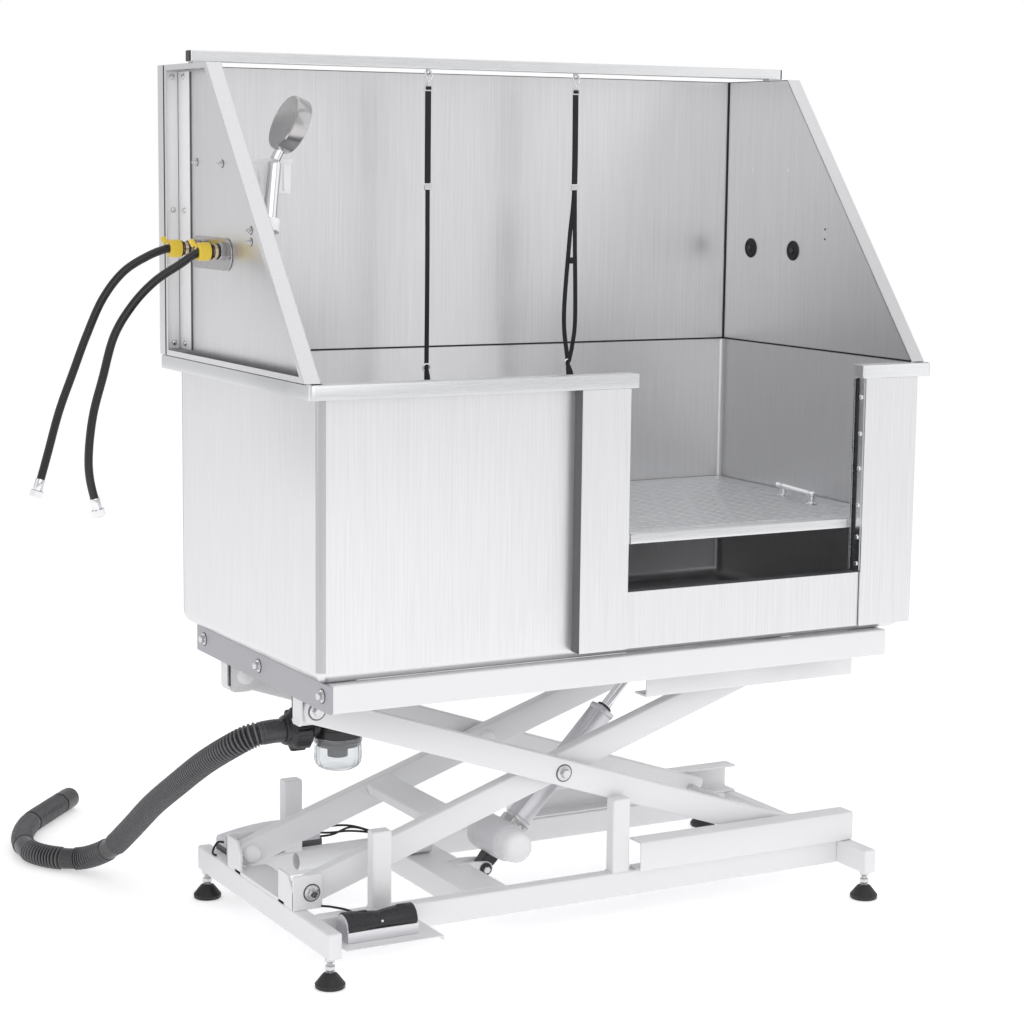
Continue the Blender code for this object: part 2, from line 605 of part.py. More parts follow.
def water(chrome, black, clear):
    """Inlets outside the left splash guard, mixer and hand shower inside it, drain trap under the pan."""
    plate = prism("inlet_plate", half_turn((0.081, 1.242), 0.029, math.pi / 2)
                  + half_turn((0.221, 1.242), 0.029, -math.pi / 2), "x", -BODY_X - 0.003, -BODY_X - GAP, chrome)
    spouts = [lathe("inlet_%d" % i, [(0.0, 0.0), (0.013, 0.0), (0.013, 0.014), (0.0095, 0.016), (0.0095, 0.028),
                                     (0.0, 0.028)], (-BODY_X - 0.001, y, 1.2475), (-1, 0, 0), chrome, 12)
              for i, y in enumerate((0.088, 0.232))]
    fuse(plate, *spouts)
    mixer = rod("mixer_body", (-0.562, 0.076, 1.247), (-0.562, 0.244, 1.247), 0.021, chrome, 16)
    mounts = [rod("mixer_mount_%d" % i, (-INNER_X + GAP, y, 1.247), (-0.566, y, 1.247), 0.0135, chrome, 16)
              for i, y in enumerate((0.090, 0.230))]
    fuse(mixer, *mounts)
    lever = rod("mixer_lever", (-0.562, 0.160, 1.2685), (-0.562, 0.160, 1.286), 0.018, chrome, 16)
    fuse(lever, rod("lever_arm", (-0.562, 0.160, 1.278), (-0.478, 0.160, 1.294), 0.006, chrome, 10))
    grip_low, grip_top = Vector((-0.572, -0.024, 1.276)), Vector((-0.5535, 0.010, 1.412))
    head, facing = Vector((-0.516, 0.010, 1.4705)), Vector((0.92, 0.0, -0.39)).normalized()
    shower = lathe("hand_shower", [(0.0, -0.014), (0.044, -0.013), (0.050, -0.009), (0.050, 0.014), (0.046, 0.016),
                                   (0.0, 0.016)], head, facing, chrome, 20)
    neck = rod("shower_neck", grip_top, head - Vector((-facing.z, 0.0, facing.x)) * 0.040, 0.009, chrome, 12)
    fuse(shower, rod("shower_grip", grip_low, grip_top, 0.013, chrome, 12), neck)
    box("shower_holder", (-INNER_X + GAP, -0.048, 1.258), (-0.589, -0.010, 1.300), chrome)
    shelf = box("bottle_shelf", (-INNER_X + GAP, 0.045, 1.349), (-0.500, 0.235, 1.410), clear)
    cut(shelf, box("shelf_inside", (-INNER_X + 0.003, 0.048, 1.352), (-0.503, 0.232, 1.42), clear))
    trap = lathe("drain_trap", [(0.0, TUB_BOTTOM - GAP), (0.034, TUB_BOTTOM - GAP), (0.034, TUB_BOTTOM - 0.010),
                                (0.022, TUB_BOTTOM - 0.016), (0.022, 0.440), (0.046, 0.434), (0.047, 0.3865),
                                (0.0, 0.3865)], DRAIN, (0, 0, 1), black, 20)
    outlet = rod("trap_outlet", (DRAIN.x, DRAIN.y, OUTLET_Z), (-0.520, DRAIN.y, OUTLET_Z), 0.018, black, 14)
    nut = lathe("union_nut", [(0.0, 0.0), (0.030, 0.0), (0.0375, 0.008), (0.0375, 0.034), (0.030, 0.042),
                              (0.0, 0.042)], (-0.516, DRAIN.y, OUTLET_Z), (-1, 0, 0), black, 16)
    fuse(trap, outlet, nut)
    lathe("trap_cup", [(0.0, 0.0), (0.030, 0.0), (0.040, 0.008), (0.044, 0.020), (0.044, 0.0585), (0.041, 0.0585),
                       (0.041, 0.021), (0.037, 0.010), (0.028, 0.003), (0.0, 0.003)],
          (DRAIN.x, DRAIN.y, 0.3275), (0, 0, 1), clear, 20)


# --- cords ------------------------------------------------------------------

REAR_HOSE = [
    (-0.6375, 0.232, 1.2475), (-0.660, 0.232, 1.2475), (-0.697, 0.232, 1.235), (-0.745, 0.232, 1.2065),
    (-0.785, 0.232, 1.158), (-0.816, 0.232, 1.093), (-0.842, 0.232, 1.028), (-0.869, 0.232, 0.9585),
    (-0.892, 0.232, 0.881), (-0.911, 0.232, 0.818),
]
FRONT_HOSE = [
    (-0.6385, 0.088, 1.2475), (-0.655, 0.088, 1.2465), (-0.673, 0.088, 1.238), (-0.691, 0.088, 1.226), (-0.738, 0.088, 1.197),
    (-0.780, 0.088, 1.156), (-0.8145, 0.088, 1.1025), (-0.836, 0.088, 1.031), (-0.854, 0.088, 0.968),
    (-0.863, 0.088, 0.904), (-0.862, 0.088, 0.855), (-0.849, 0.088, 0.799),
]
DRAIN_HOSE = [
    (-0.5615, -0.065, 0.407), (-0.590, -0.065, 0.407), (-0.622, -0.058, 0.401), (-0.650, -0.028, 0.378),
    (-0.671, 0.045, 0.334), (-0.6835, 0.140, 0.276), (-0.690, 0.260, 0.206), (-0.691, 0.390, 0.124),
    (-0.699, 0.480, 0.066), (-0.727, 0.555, 0.030), (-0.770, 0.605, 0.023), (-0.800, 0.670, 0.023),
    (-0.790, 0.760, 0.023), (-0.745, 0.860, 0.023), (-0.680, 0.940, 0.023), (-0.600, 1.030, 0.023),
]
LEAD_LEFT = [(-0.159, 0.183, 1.551), (-0.159, 0.183, 1.362), (-0.1585, 0.183, 1.200), (-0.159, 0.183, 1.020),
             (-0.160, 0.181, 0.935)]
LEAD_RIGHT = [(0.161, 0.183, 1.551), (0.161, 0.183, 1.362), (0.152, 0.183, 1.260), (0.142, 0.183, 1.110),
              (0.152, 0.183, 1.020), (0.156, 0.181, 0.935)]


def cords(rubber, ribbed, webbing):
    cord("supply_hose_rear", REAR_HOSE, 0.015, rubber)
    cord("supply_hose_front", FRONT_HOSE, 0.015, rubber)
    cord("drain_hose", DRAIN_HOSE, 0.045, ribbed, 4, 1.2)
    cord("lead_left", LEAD_LEFT, 0.010, webbing)
    cord("lead_right", LEAD_RIGHT, 0.010, webbing)


def main():
    clear_scene()
    steel = material("stainless_steel", (0.62, 0.62, 0.63), 1.0, 0.32)
    white = material("white_powder_coat", (0.86, 0.86, 0.87), 0.0, 0.38)
    frame_grey = material("end_plate_coat", (0.55, 0.55, 0.58), 0.0, 0.42)
    zinc = material("zinc_plate", (0.68, 0.68, 0.70), 1.0, 0.28)
    chrome = material("chrome_plate", (0.78, 0.78, 0.80), 1.0, 0.10)
    motor_grey = material("motor_plastic", (0.80, 0.80, 0.82), 0.0, 0.45)
    box_grey = material("control_box_plastic", (0.45, 0.45, 0.48), 0.0, 0.50)
    black = material("black_plastic", (0.02, 0.02, 0.022), 0.0, 0.40)
    clear = material("clear_plastic", (0.85, 0.88, 0.90), 0.0, 0.08)
    aluminium = material("anodised_aluminium", (0.75, 0.76, 0.78), 1.0, 0.35)
    rubber = material("hose_rubber", (0.015, 0.015, 0.016), 0.0, 0.45)
    webbing = material("nylon_webbing", (0.012, 0.012, 0.013), 0.0, 0.85)
    bath(steel)
    splash_guards(steel)
    upper_frame(white, frame_grey)
    base_frame(white)
    for label, x in (("left", FOOT_X[0]), ("right", FOOT_X[1])):
        foot("foot_front_" + label, x, FOOT_Y[0], black)
        foot("foot_back_" + label, x, FOOT_Y[1], black)
    scissor(white, zinc)
    actuator(motor_grey, chrome)
    electrics(white, box_grey, black, aluminium)
    water(chrome, black, clear)
    cords(rubber, black, webbing)


main()
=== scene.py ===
"""Looks of the grooming bath on its scissor lift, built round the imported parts."""

from math import asin, cos, pi, radians, sin, sqrt

import bmesh
import bpy
from mathutils import Matrix, Vector


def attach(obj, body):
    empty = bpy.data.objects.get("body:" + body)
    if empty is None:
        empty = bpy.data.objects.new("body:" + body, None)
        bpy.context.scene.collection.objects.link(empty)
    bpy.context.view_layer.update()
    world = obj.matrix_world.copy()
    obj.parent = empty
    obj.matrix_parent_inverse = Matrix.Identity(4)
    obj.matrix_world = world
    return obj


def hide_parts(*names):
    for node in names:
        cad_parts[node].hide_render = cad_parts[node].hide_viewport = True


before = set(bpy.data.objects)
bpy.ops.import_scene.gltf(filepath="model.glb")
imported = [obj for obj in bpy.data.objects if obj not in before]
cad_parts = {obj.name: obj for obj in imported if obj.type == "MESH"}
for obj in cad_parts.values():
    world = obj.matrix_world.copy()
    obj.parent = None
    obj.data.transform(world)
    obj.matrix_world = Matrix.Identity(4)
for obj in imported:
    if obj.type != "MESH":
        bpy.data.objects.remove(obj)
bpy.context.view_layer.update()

LIFT_Y = 0.005
PIVOT_X, LOW_Z, HIGH_Z = -0.547, 0.129, 0.463
REACH = 0.5243
ANGLE = asin((HIGH_Z - LOW_Z) / (2 * REACH))
ROLLER_X = PIVOT_X + 2 * REACH * cos(ANGLE)
MIDDLE = (PIVOT_X + ROLLER_X) / 2, (LOW_Z + HIGH_Z) / 2
DRAIN = Vector((-0.457, -0.065, 0.0))
OUTLET_Z = 0.407
TUB_LOW, TUB_TOP, TUB_FRONT = 0.557, 1.0218, -0.343
GUARD_LOW, GUARD_TOP = 1.0476, 1.578
INLET_Z = 1.2475
FRAME_LOW, FRAME_TOP = 0.492, 0.541
LEFT, RIGHT = (-1, 0, 0), (1, 0, 0)
FRONT, BACK, UP = (0, -1, 0), (0, 1, 0), (0, 0, 1)


def mm(*points):
    """Takes points in millimetres and gives them in metres."""
    return [tuple(value / 1000 for value in point) for point in points]


# --- camera and light --------------------------------------------------------

def set_camera():
    turn, pitch, roll = (radians(a) for a in (28.74, 8.34, -0.66))
    ahead = Vector((sin(turn) * cos(pitch), cos(turn) * cos(pitch), -sin(pitch)))
    right = Vector((cos(turn), -sin(turn), 0.0))
    down = ahead.cross(right)
    side = right * cos(roll) + down * sin(roll)
    below = down * cos(roll) - right * sin(roll)
    camera = bpy.data.cameras.new("camera")
    camera.lens, camera.sensor_width = 84.41, 36.0
    camera.clip_end = 60.0
    holder = bpy.data.objects.new("camera", camera)
    bpy.context.scene.collection.objects.link(holder)
    basis = Matrix((side, -below, -ahead)).transposed().to_4x4()
    basis.translation = Vector((-2.21197, -3.90666, 1.41341))
    holder.matrix_world = basis
    bpy.context.scene.camera = holder


def area_light(name, place, target, size, power):
    light = bpy.data.lights.new(name, "AREA")
    light.shape, light.size, light.size_y, light.energy = "RECTANGLE", size[0], size[1], power
    holder = bpy.data.objects.new(name, light)
    bpy.context.scene.collection.objects.link(holder)
    holder.location = place
    holder.rotation_euler = (Vector(target) - Vector(place)).to_track_quat("-Z", "Y").to_euler()


def colour_ramp(nodes, places, first, second):
    ramp = nodes.new("ShaderNodeValToRGB")
    for element, place, colour in zip(ramp.color_ramp.elements, places, (first, second)):
        element.position, element.color = place, (*colour, 1)
    return ramp


def set_light():
    """A pale world, seen as plain white by the camera, and four soft lamps."""
    world = bpy.data.worlds.new("studio")
    bpy.context.scene.world = world
    world.use_nodes = True
    nodes, links = world.node_tree.nodes, world.node_tree.links
    back = nodes["Background"]
    where = nodes.new("ShaderNodeTexCoord")
    split = nodes.new("ShaderNodeSeparateXYZ")
    ramp = colour_ramp(nodes, (0.46, 0.8), (0.84, 0.84, 0.85), (0.72, 0.72, 0.73))
    links.new(where.outputs["Generated"], split.inputs[0])
    links.new(split.outputs["Z"], ramp.inputs[0])
    links.new(ramp.outputs[0], back.inputs[0])
    back.inputs[1].default_value = 0.84
    plain = nodes.new("ShaderNodeBackground")
    plain.inputs[0].default_value = (1.0, 1.0, 1.0, 1.0)
    plain.inputs[1].default_value = 1.0
    seen = nodes.new("ShaderNodeLightPath")
    choice = nodes.new("ShaderNodeMixShader")
    links.new(seen.outputs["Is Camera Ray"], choice.inputs[0])
    links.new(back.outputs[0], choice.inputs[1])
    links.new(plain.outputs[0], choice.inputs[2])
    links.new(choice.outputs[0], nodes["World Output"].inputs["Surface"])
    area_light("key", (-1.2, -4.6, 3.4), (0, 0, 0.8), (5.2, 3.8), 52)
    area_light("fill", (3.6, -2.2, 2.4), (0, 0, 0.8), (3.6, 3.6), 16)
    area_light("top", (0.2, 0.2, 4.2), (0, 0, 0.8), (5.0, 4.0), 28)
    area_light("left", (-4.2, 0.6, 1.9), (0, 0, 0.9), (2.6, 3.0), 8)
    bpy.context.scene.view_settings.view_transform = "Standard"
    bpy.context.scene.view_settings.look = "None"


def set_stage():
    """A plain pale floor; the world behind it is the same white."""
    half, low = 14.0, -0.0005
    mesh = bpy.data.meshes.new("floor")
    points = [(-half, -half, low), (half, -half, low), (half, half, low), (-half, half, low)]
    mesh.from_pydata(points, [], [(0, 1, 2, 3)])
    mesh.shade_smooth()
    floor = bpy.data.objects.new("floor", mesh)
    bpy.context.scene.collection.objects.link(floor)
    mesh.materials.append(principled("floor_white", (0.9, 0.9, 0.905), 0.0, 0.6,
        Emission_Color=(1.0, 1.0, 1.0, 1.0), Emission_Strength=0.42))


# --- materials ---------------------------------------------------------------

def principled(name, colour, metallic, roughness, **more):
    made = bpy.data.materials.new(name)
    made.use_nodes = True
    shader = made.node_tree.nodes["Principled BSDF"]
    shader.inputs["Base Color"].default_value = (*colour, 1.0)
    shader.inputs["Metallic"].default_value = metallic
    shader.inputs["Roughness"].default_value = roughness
    for key, value in more.items():
        shader.inputs[key.replace("_", " ")].default_value = value
    return made


def noise_in(made, scale, detail):
    """A noise in the object's own space, stretched by scale."""
    nodes, links = made.node_tree.nodes, made.node_tree.links
    where = nodes.new("ShaderNodeTexCoord")
    stretch = nodes.new("ShaderNodeMapping")
    stretch.inputs["Scale"].default_value = scale
    noise = nodes.new("ShaderNodeTexNoise")
    noise.inputs["Scale"].default_value = 1.0
    noise.inputs["Detail"].default_value = detail
    links.new(where.outputs["Object"], stretch.inputs[0])
    links.new(stretch.outputs[0], noise.inputs["Vector"])
    return nodes, links, noise.outputs["Fac"]


def grain(made, scale, low, high, bump):
    """Varies the roughness between low and high, and the height."""
    nodes, links, noise = noise_in(made, scale, 4.0)
    shader = nodes["Principled BSDF"]
    span = nodes.new("ShaderNodeMapRange")
    for key, value in (("From Min", 0.3), ("From Max", 0.7), ("To Min", low), ("To Max", high)):
        span.inputs[key].default_value = value
    lift = nodes.new("ShaderNodeBump")
    lift.inputs["Strength"].default_value = bump
    lift.inputs["Distance"].default_value = 0.0004
    links.new(noise, span.inputs["Value"])
    links.new(span.outputs[0], shader.inputs["Roughness"])
    links.new(noise, lift.inputs["Height"])
    links.new(lift.outputs[0], shader.inputs["Normal"])


def tint(made, scale, first, second):
    """Mixes two close colours."""
    nodes, links, noise = noise_in(made, scale, 3.0)
    ramp = colour_ramp(nodes, (0.3, 0.7), first, second)
    links.new(noise, ramp.inputs[0])
    links.new(ramp.outputs[0], nodes["Principled BSDF"].inputs["Base Color"])


def painted_rib_shading(made):
    """Painted highlight on the tops of ribs and painted shade in the grooves: lightens the tops and darkens
    the grooves, by pointiness.
    """
    nodes, links = made.node_tree.nodes, made.node_tree.links
    shape = nodes.new("ShaderNodeNewGeometry")
    ramp = colour_ramp(nodes, (0.5, 0.62), (0.016, 0.016, 0.017), (0.2, 0.2, 0.21))
    links.new(shape.outputs["Pointiness"], ramp.inputs[0])
    links.new(ramp.outputs[0], nodes["Principled BSDF"].inputs["Base Color"])


# look: material, colour, metallic, roughness, and for a grained one the noise's scale, the lowest and
# highest roughness and the bump
LOOKS = {
    "steel": ("brushed_steel", (0.7, 0.7, 0.71), 1.0, 0.3, (1500, 1500, 16), 0.28, 0.42, 0.06),
    "steel_flat": ("brushed_steel_flat", (0.66, 0.67, 0.69), 1.0, 0.22,
        (16, 1400, 1400), 0.22, 0.34, 0.015),
    "white": ("white_coat", (0.8, 0.8, 0.81), 0.0, 0.36, (260, 260, 260), 0.3, 0.42, 0.03),
    "plate": ("end_plate_grey", (0.4, 0.4, 0.43), 0.0, 0.4, (300, 300, 300), 0.34, 0.46, 0.05),
    "zinc": ("zinc", (0.66, 0.66, 0.67), 1.0, 0.25, (240, 240, 240), 0.16, 0.34, 0.06),
    "chrome": ("chrome", (0.8, 0.8, 0.81), 1.0, 0.07),
    "satin": ("satin_metal", (0.5, 0.49, 0.49), 1.0, 0.2, (90, 90, 90), 0.14, 0.24, 0.0),
    "motor": ("motor_grey", (0.74, 0.74, 0.76), 0.0, 0.42, (500, 500, 500), 0.36, 0.5, 0.1),
    "box_top": ("box_lid", (0.7, 0.7, 0.73), 0.0, 0.45, (400, 400, 400), 0.4, 0.52, 0.06),
    "box_dark": ("box_body", (0.13, 0.13, 0.14), 0.0, 0.5, (400, 400, 400), 0.42, 0.56, 0.08),
    "tube": ("actuator_tube", (0.6, 0.6, 0.62), 1.0, 0.32),
    "black": ("black_plastic", (0.018, 0.018, 0.02), 0.0, 0.32, (320, 320, 320), 0.24, 0.4, 0.08),
    "hose": ("hose_grey", (0.055, 0.056, 0.06), 0.0, 0.3, (150, 150, 150), 0.24, 0.36, 0.02),
    "pad": ("foot_pad", (0.014, 0.014, 0.015), 0.0, 0.42, (420, 420, 420), 0.32, 0.6, 0.25),
    "rubber": ("hose_rubber", (0.012, 0.012, 0.013), 0.0, 0.22, (200, 200, 200), 0.16, 0.28, 0.03),
    "gasket": ("gasket", (0.012, 0.012, 0.013), 0.0, 0.6),
    "web": ("webbing", (0.012, 0.012, 0.013), 0.0, 0.8, (1200, 1200, 1600), 0.65, 0.95, 0.5),
    "yellow": ("yellow_clip", (0.86, 0.62, 0.06), 0.0, 0.34, (200, 200, 200), 0.28, 0.42, 0.05),
    "alu": ("aluminium", (0.78, 0.78, 0.8), 1.0, 0.34, (40, 700, 700), 0.28, 0.42, 0.06),
    "deck": ("deck_sheet", (0.7, 0.71, 0.72), 1.0, 0.42, (700, 700, 700), 0.38, 0.48, 0.0),
    # darker steel laid along the tub's outer corners: painted shade
    "fold": ("folded_steel", (0.5, 0.5, 0.51), 1.0, 0.24, (1500, 1500, 16), 0.22, 0.3, 0.02),
    # painted shade: a dark steel colour for thin sheets, strips and discs where shade falls
    "shade": ("dark_steel", (0.16, 0.16, 0.17), 1.0, 0.38),
    "brass": ("brass", (0.66, 0.52, 0.36), 1.0, 0.18),
    "cap": ("white_cap", (0.88, 0.88, 0.89), 0.0, 0.22),
}


def materials():
    made = {}
    for look, (name, colour, metallic, roughness, *grained) in LOOKS.items():
        made[look] = principled(name, colour, metallic, roughness)
        if grained:
            grain(made[look], *grained)
    tint(made["steel"], (900, 900, 7), (0.71, 0.71, 0.72), (0.8, 0.8, 0.81))
    tint(made["steel_flat"], (8, 900, 900), (0.77, 0.775, 0.78), (0.82, 0.825, 0.83))
    # painted highlight on the drain hose's rib tops and painted shade in its grooves
    painted_rib_shading(made["hose"])
    made["clear"] = principled("clear_plastic", (0.93, 0.95, 0.96), 0.0, 0.05, Transmission_Weight=0.92,
        IOR=1.46)
    made["milky"] = principled("milky_plastic", (0.95, 0.95, 0.96), 0.0, 0.3, IOR=1.45)
    return made


M = materials()


# --- building ----------------------------------------------------------------

def add(name, points, faces, look, body, bevel=0.0, smooth=40, segments=3):
    mesh = bpy.data.meshes.new(name)
    mesh.from_pydata([tuple(p) for p in points], [], faces)
    work = bmesh.new()
    work.from_mesh(mesh)
    bmesh.ops.remove_doubles(work, verts=work.verts, dist=1e-6)
    bmesh.ops.recalc_face_normals(work, faces=work.faces)
    work.to_mesh(mesh)
    work.free()
    mesh.materials.append(M[look])
    made = bpy.data.objects.new(name, mesh)
    bpy.context.scene.collection.objects.link(made)
    if bevel:
        edge = made.modifiers.new("edge", "BEVEL")
        edge.width, edge.segments, edge.limit_method = bevel, segments, "ANGLE"
        edge.angle_limit = radians(35)
        edge.harden_normals = True
    mesh.shade_smooth()
    mesh.set_sharp_from_angle(angle=radians(smooth))
    if body:
        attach(made, body)
    return made


def bands(count, size, around=False):
    """Faces between count rings of size points; around joins the last ring to the first."""
    faces = []
    for i in range(count if around else count - 1):
        this, following = i * size, (i + 1) % count * size
        faces += [(this + j, this + (j + 1) % size, following + (j + 1) % size, following + j)
            for j in range(size)]
    return faces


def caps(count, size):
    return [tuple(range(size)), tuple(range((count - 1) * size, count * size))]


def block(name, low, high, look, body, bevel=0.002, segments=3):
    """A box between two opposite corners, which may be given in any order."""
    xs, ys, zs = (sorted(pair) for pair in zip(low, high))
    points = [(x, y, z) for x in xs for y in ys for z in zs]
    faces = [(0, 1, 3, 2), (4, 6, 7, 5), (0, 4, 5, 1), (2, 3, 7, 6), (0, 2, 6, 4), (1, 5, 7, 3)]
    return add(name, points, faces, look, body, bevel, segments=segments)


def beam(node, low, high, look, body, bevel=0.004):
    """A closed square tube with rounded corners, shown in place of its CAD node."""
    made = block(node + "_skin", low, high, look, body, bevel, 4)
    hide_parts(node)
    return made


def at_axis(axis, u, v, along):
    return {"x": (along, u, v), "y": (u, along, v), "z": (u, v, along)}[axis]


def prism(name, outline, axis, start, end, look, body, bevel=0.002, segments=3):
    """An outline drawn along an axis from start to end, in either order."""
    count = len(outline)
    start, end = sorted((start, end))
    points = [at_axis(axis, u, v, w) for w in (start, end) for u, v in outline]
    return add(name, points, caps(2, count) + bands(2, count), look, body, bevel, segments=segments)


def lathe(name, profile, base, direction, look, body, sides=32, ripple=None, bevel=0.0, smooth=35):
    """Turned from (radius, height) pairs; ripple(angle, height) scales the radius."""
    turn = Vector(UP).rotation_difference(Vector(direction).normalized()).to_matrix()
    points = []
    for radius, height in profile:
        for i in range(sides):
            angle = 2 * pi * i / sides
            r = radius * (ripple(angle, height) if ripple else 1.0)
            points.append(Vector(base) + turn @ Vector((r * cos(angle), r * sin(angle), height)))
    closed = profile[0][0] > 1e-6 and profile[-1][0] > 1e-6
    made = add(name, points, bands(len(profile), sides, closed), look, body, bevel, smooth)
    work = bmesh.new()
    work.from_mesh(made.data)
    bmesh.ops.dissolve_degenerate(work, dist=1e-7, edges=work.edges)
    work.to_mesh(made.data)
    work.free()
    made.data.shade_smooth()
    made.data.set_sharp_from_angle(angle=radians(smooth))
    return made


def rod(name, start, end, radius, look, body, sides=24, edge=None):
    edge = min(radius * 0.2, 0.001) if edge is None else edge
    length = (Vector(end) - Vector(start)).length
    profile = [(0, 0), (radius - edge, 0), (radius, edge), (radius, length - edge),
        (radius - edge, length), (0, length)]
    return lathe(name, profile, start, Vector(end) - Vector(start), look, body, sides)


def hex_bolt(name, place, direction, size, look, body, washer=True):
    """A hexagon head, chamfered, on a washer; size is across the flats."""
    radius, height = size / sqrt(3), size * 0.62
    base = Vector(place)
    way = Vector(direction).normalized()
    if washer:
        # a dark disc a little wider than the washer: painted shadow round the bolt head
        lathe(name + "_shade", [(0, -0.0008), (size * 1.02, -0.0008), (size * 1.02, 0.0004), (0, 0.0004)],
            base, way, "shade", body, 28)
        lathe(name + "_washer", [(0, -0.0006), (size * 0.82, -0.0006), (size * 0.86, 0.0002),
            (size * 0.86, 0.0014), (size * 0.82, 0.0018), (0, 0.0018)], base, way, look, body, 28)
        base = base + way * 0.0016
    profile = [(0, -0.001), (radius, -0.001), (radius, height * 0.72), (radius * 0.86, height),
        (0, height)]
    return lathe(name, profile, base, way, look, body, 6, bevel=0.0006, smooth=20)


def dome(name, place, direction, radius, look, body, height=0.45):
    profile = [(0, -0.0008), (radius, -0.0008), (radius, radius * 0.22)]
    profile += [(radius * cos(a), radius * 0.22 + radius * height * sin(a))
                for a in [pi / 2 * i / 8 for i in range(1, 8)]] + [(0, radius * (0.22 + height))]
    return lathe(name, profile, place, direction, look, body, 28)


def curve_points(points, step):
    """Evenly spaced points on a Catmull-Rom curve through the given ones."""
    knots = [Vector(p) for p in points]
    knots = [2 * knots[0] - knots[1]] + knots + [2 * knots[-1] - knots[-2]]
    fine = []
    for a, b, c, d in zip(knots, knots[1:], knots[2:], knots[3:]):
        for i in range(24):
            t = i / 24
            fine.append(0.5 * (2 * b + (c - a) * t + (2 * a - 5 * b + 4 * c - d) * t * t
                               + (3 * b - a - 3 * c + d) * t ** 3))
    fine.append(knots[-2])
    lengths = [0.0]
    for a, b in zip(fine, fine[1:]):
        lengths.append(lengths[-1] + (b - a).length)
    count = max(2, round(lengths[-1] / step))
    spots, at = [], 0
    for i in range(count + 1):
        wanted = lengths[-1] * i / count
        while at < len(fine) - 2 and lengths[at + 1] < wanted:
            at += 1
        share = (wanted - lengths[at]) / max(lengths[at + 1] - lengths[at], 1e-9)
        spots.append(fine[at].lerp(fine[at + 1], share))
    return spots, lengths[-1]


def along_path(name, spots, section, look, body, up=None, smooth=40, closed=False):
    """Lofts section(i, share) -> [(side, height)] along the spots, with a frame that doesn't twist."""
    count = len(spots)
    tangents = []
    for i in range(count):
        a = spots[(i - 1) % count] if closed else spots[max(i - 1, 0)]
        b = spots[(i + 1) % count] if closed else spots[min(i + 1, count - 1)]
        tangents.append((b - a).normalized())
    side = (Vector(up) if up else Vector((0.31, 0.17, 0.93))).cross(tangents[0])
    if side.length < 1e-3:
        side = Vector(RIGHT).cross(tangents[0])
    side.normalize()
    points = []
    for i in range(count):
        if up:
            side = Vector(up).cross(tangents[i]).normalized()
        else:
            side = (side - tangents[i] * side.dot(tangents[i])).normalized()
        height = tangents[i].cross(side)
        loop = section(i, i / (count - 1))
        points += [spots[i] + side * u + height * v for u, v in loop]
    faces = bands(count, len(loop), closed) + ([] if closed else caps(count, len(loop)))
    return add(name, points, faces, look, body, smooth=smooth)


def circle(radius, sides):
    return [(radius * cos(2 * pi * j / sides), radius * sin(2 * pi * j / sides)) for j in range(sides)]


def wire(name, points, radius, look, body, step=None, sides=12, closed=False):
    spots, _ = curve_points(points, step or radius * 1.5)
    if closed:
        spots = spots[:-1]
    loop = circle(radius, sides)
    return along_path(name, spots, lambda i, s: loop, look, body, closed=closed)


def ring(name, centre, normal, radius, thick, look, body):
    turn = Vector(UP).rotation_difference(Vector(normal).normalized()).to_matrix()
    spots = [Vector(centre) + turn @ Vector((radius * cos(a), radius * sin(a), 0))
             for a in [2 * pi * i / 28 for i in range(28)]]
    loop = circle(thick, 10)
    return along_path(name, spots, lambda i, s: loop, look, body, closed=True)


def sweep(name, path, profile, look, body, closed=False, plane="xy", bevel=0.0, flip=1):
    """Sweeps a closed (inset, depth) profile along a flat path with mitred corners."""
    count = len(path)
    spots = [Vector(p) for p in path]
    points = []
    for i in range(count):
        before = (spots[i] - spots[i - 1]).normalized() if closed or i else None
        after = (spots[(i + 1) % count] - spots[i]).normalized() if closed or i < count - 1 else None
        first = before or after
        second = after or before
        n1, n2 = Vector((-first.y, first.x)) * flip, Vector((-second.y, second.x)) * flip
        mitre = (n1 + n2).normalized()
        mitre /= max(mitre.dot(n1), 0.2)
        for inset, depth in profile:
            spot = spots[i] + mitre * inset
            points.append({"xy": (spot.x, spot.y, depth), "yz": (depth, spot.x, spot.y),
                           "xz": (spot.x, depth, spot.y)}[plane])
    faces = bands(count, len(profile), closed) + ([] if closed else caps(count, len(profile)))
    return add(name, points, faces, look, body, bevel, segments=2)


def apply_modifiers(made):
    graph = bpy.context.evaluated_depsgraph_get()
    mesh = bpy.data.meshes.new_from_object(made.evaluated_get(graph))
    made.modifiers.clear()
    old = made.data
    made.data = mesh
    bpy.data.meshes.remove(old)


def carve(made, cutters):
    """Cuts the pieces out of made, then removes them."""
    for cutter in cutters:
        knife = made.modifiers.new("cut", "BOOLEAN")
        knife.operation, knife.object, knife.solver = "DIFFERENCE", cutter, "EXACT"
    apply_modifiers(made)
    for cutter in cutters:
        bpy.data.objects.remove(cutter, do_unlink=True)
    made.data.shade_smooth()
    made.data.set_sharp_from_angle(angle=radians(32))


def half_turn(centre, radius, start, steps=16):
    return [(centre[0] + radius * cos(start + pi * i / steps),
             centre[1] + radius * sin(start + pi * i / steps)) for i in range(steps + 1)]


def round_rect(half_x, half_y, radius, steps=6):
    corners = [(half_x - radius, half_y - radius, 0), (-half_x + radius, half_y - radius, 90),
               (-half_x + radius, -half_y + radius, 180), (half_x - radius, -half_y + radius, 270)]
    return [(cx + radius * cos(radians(start + 90 * i / steps)),
             cy + radius * sin(radians(start + 90 * i / steps)))
            for cx, cy, start in corners for i in range(steps + 1)]


# --- bath --------------------------------------------------------------------

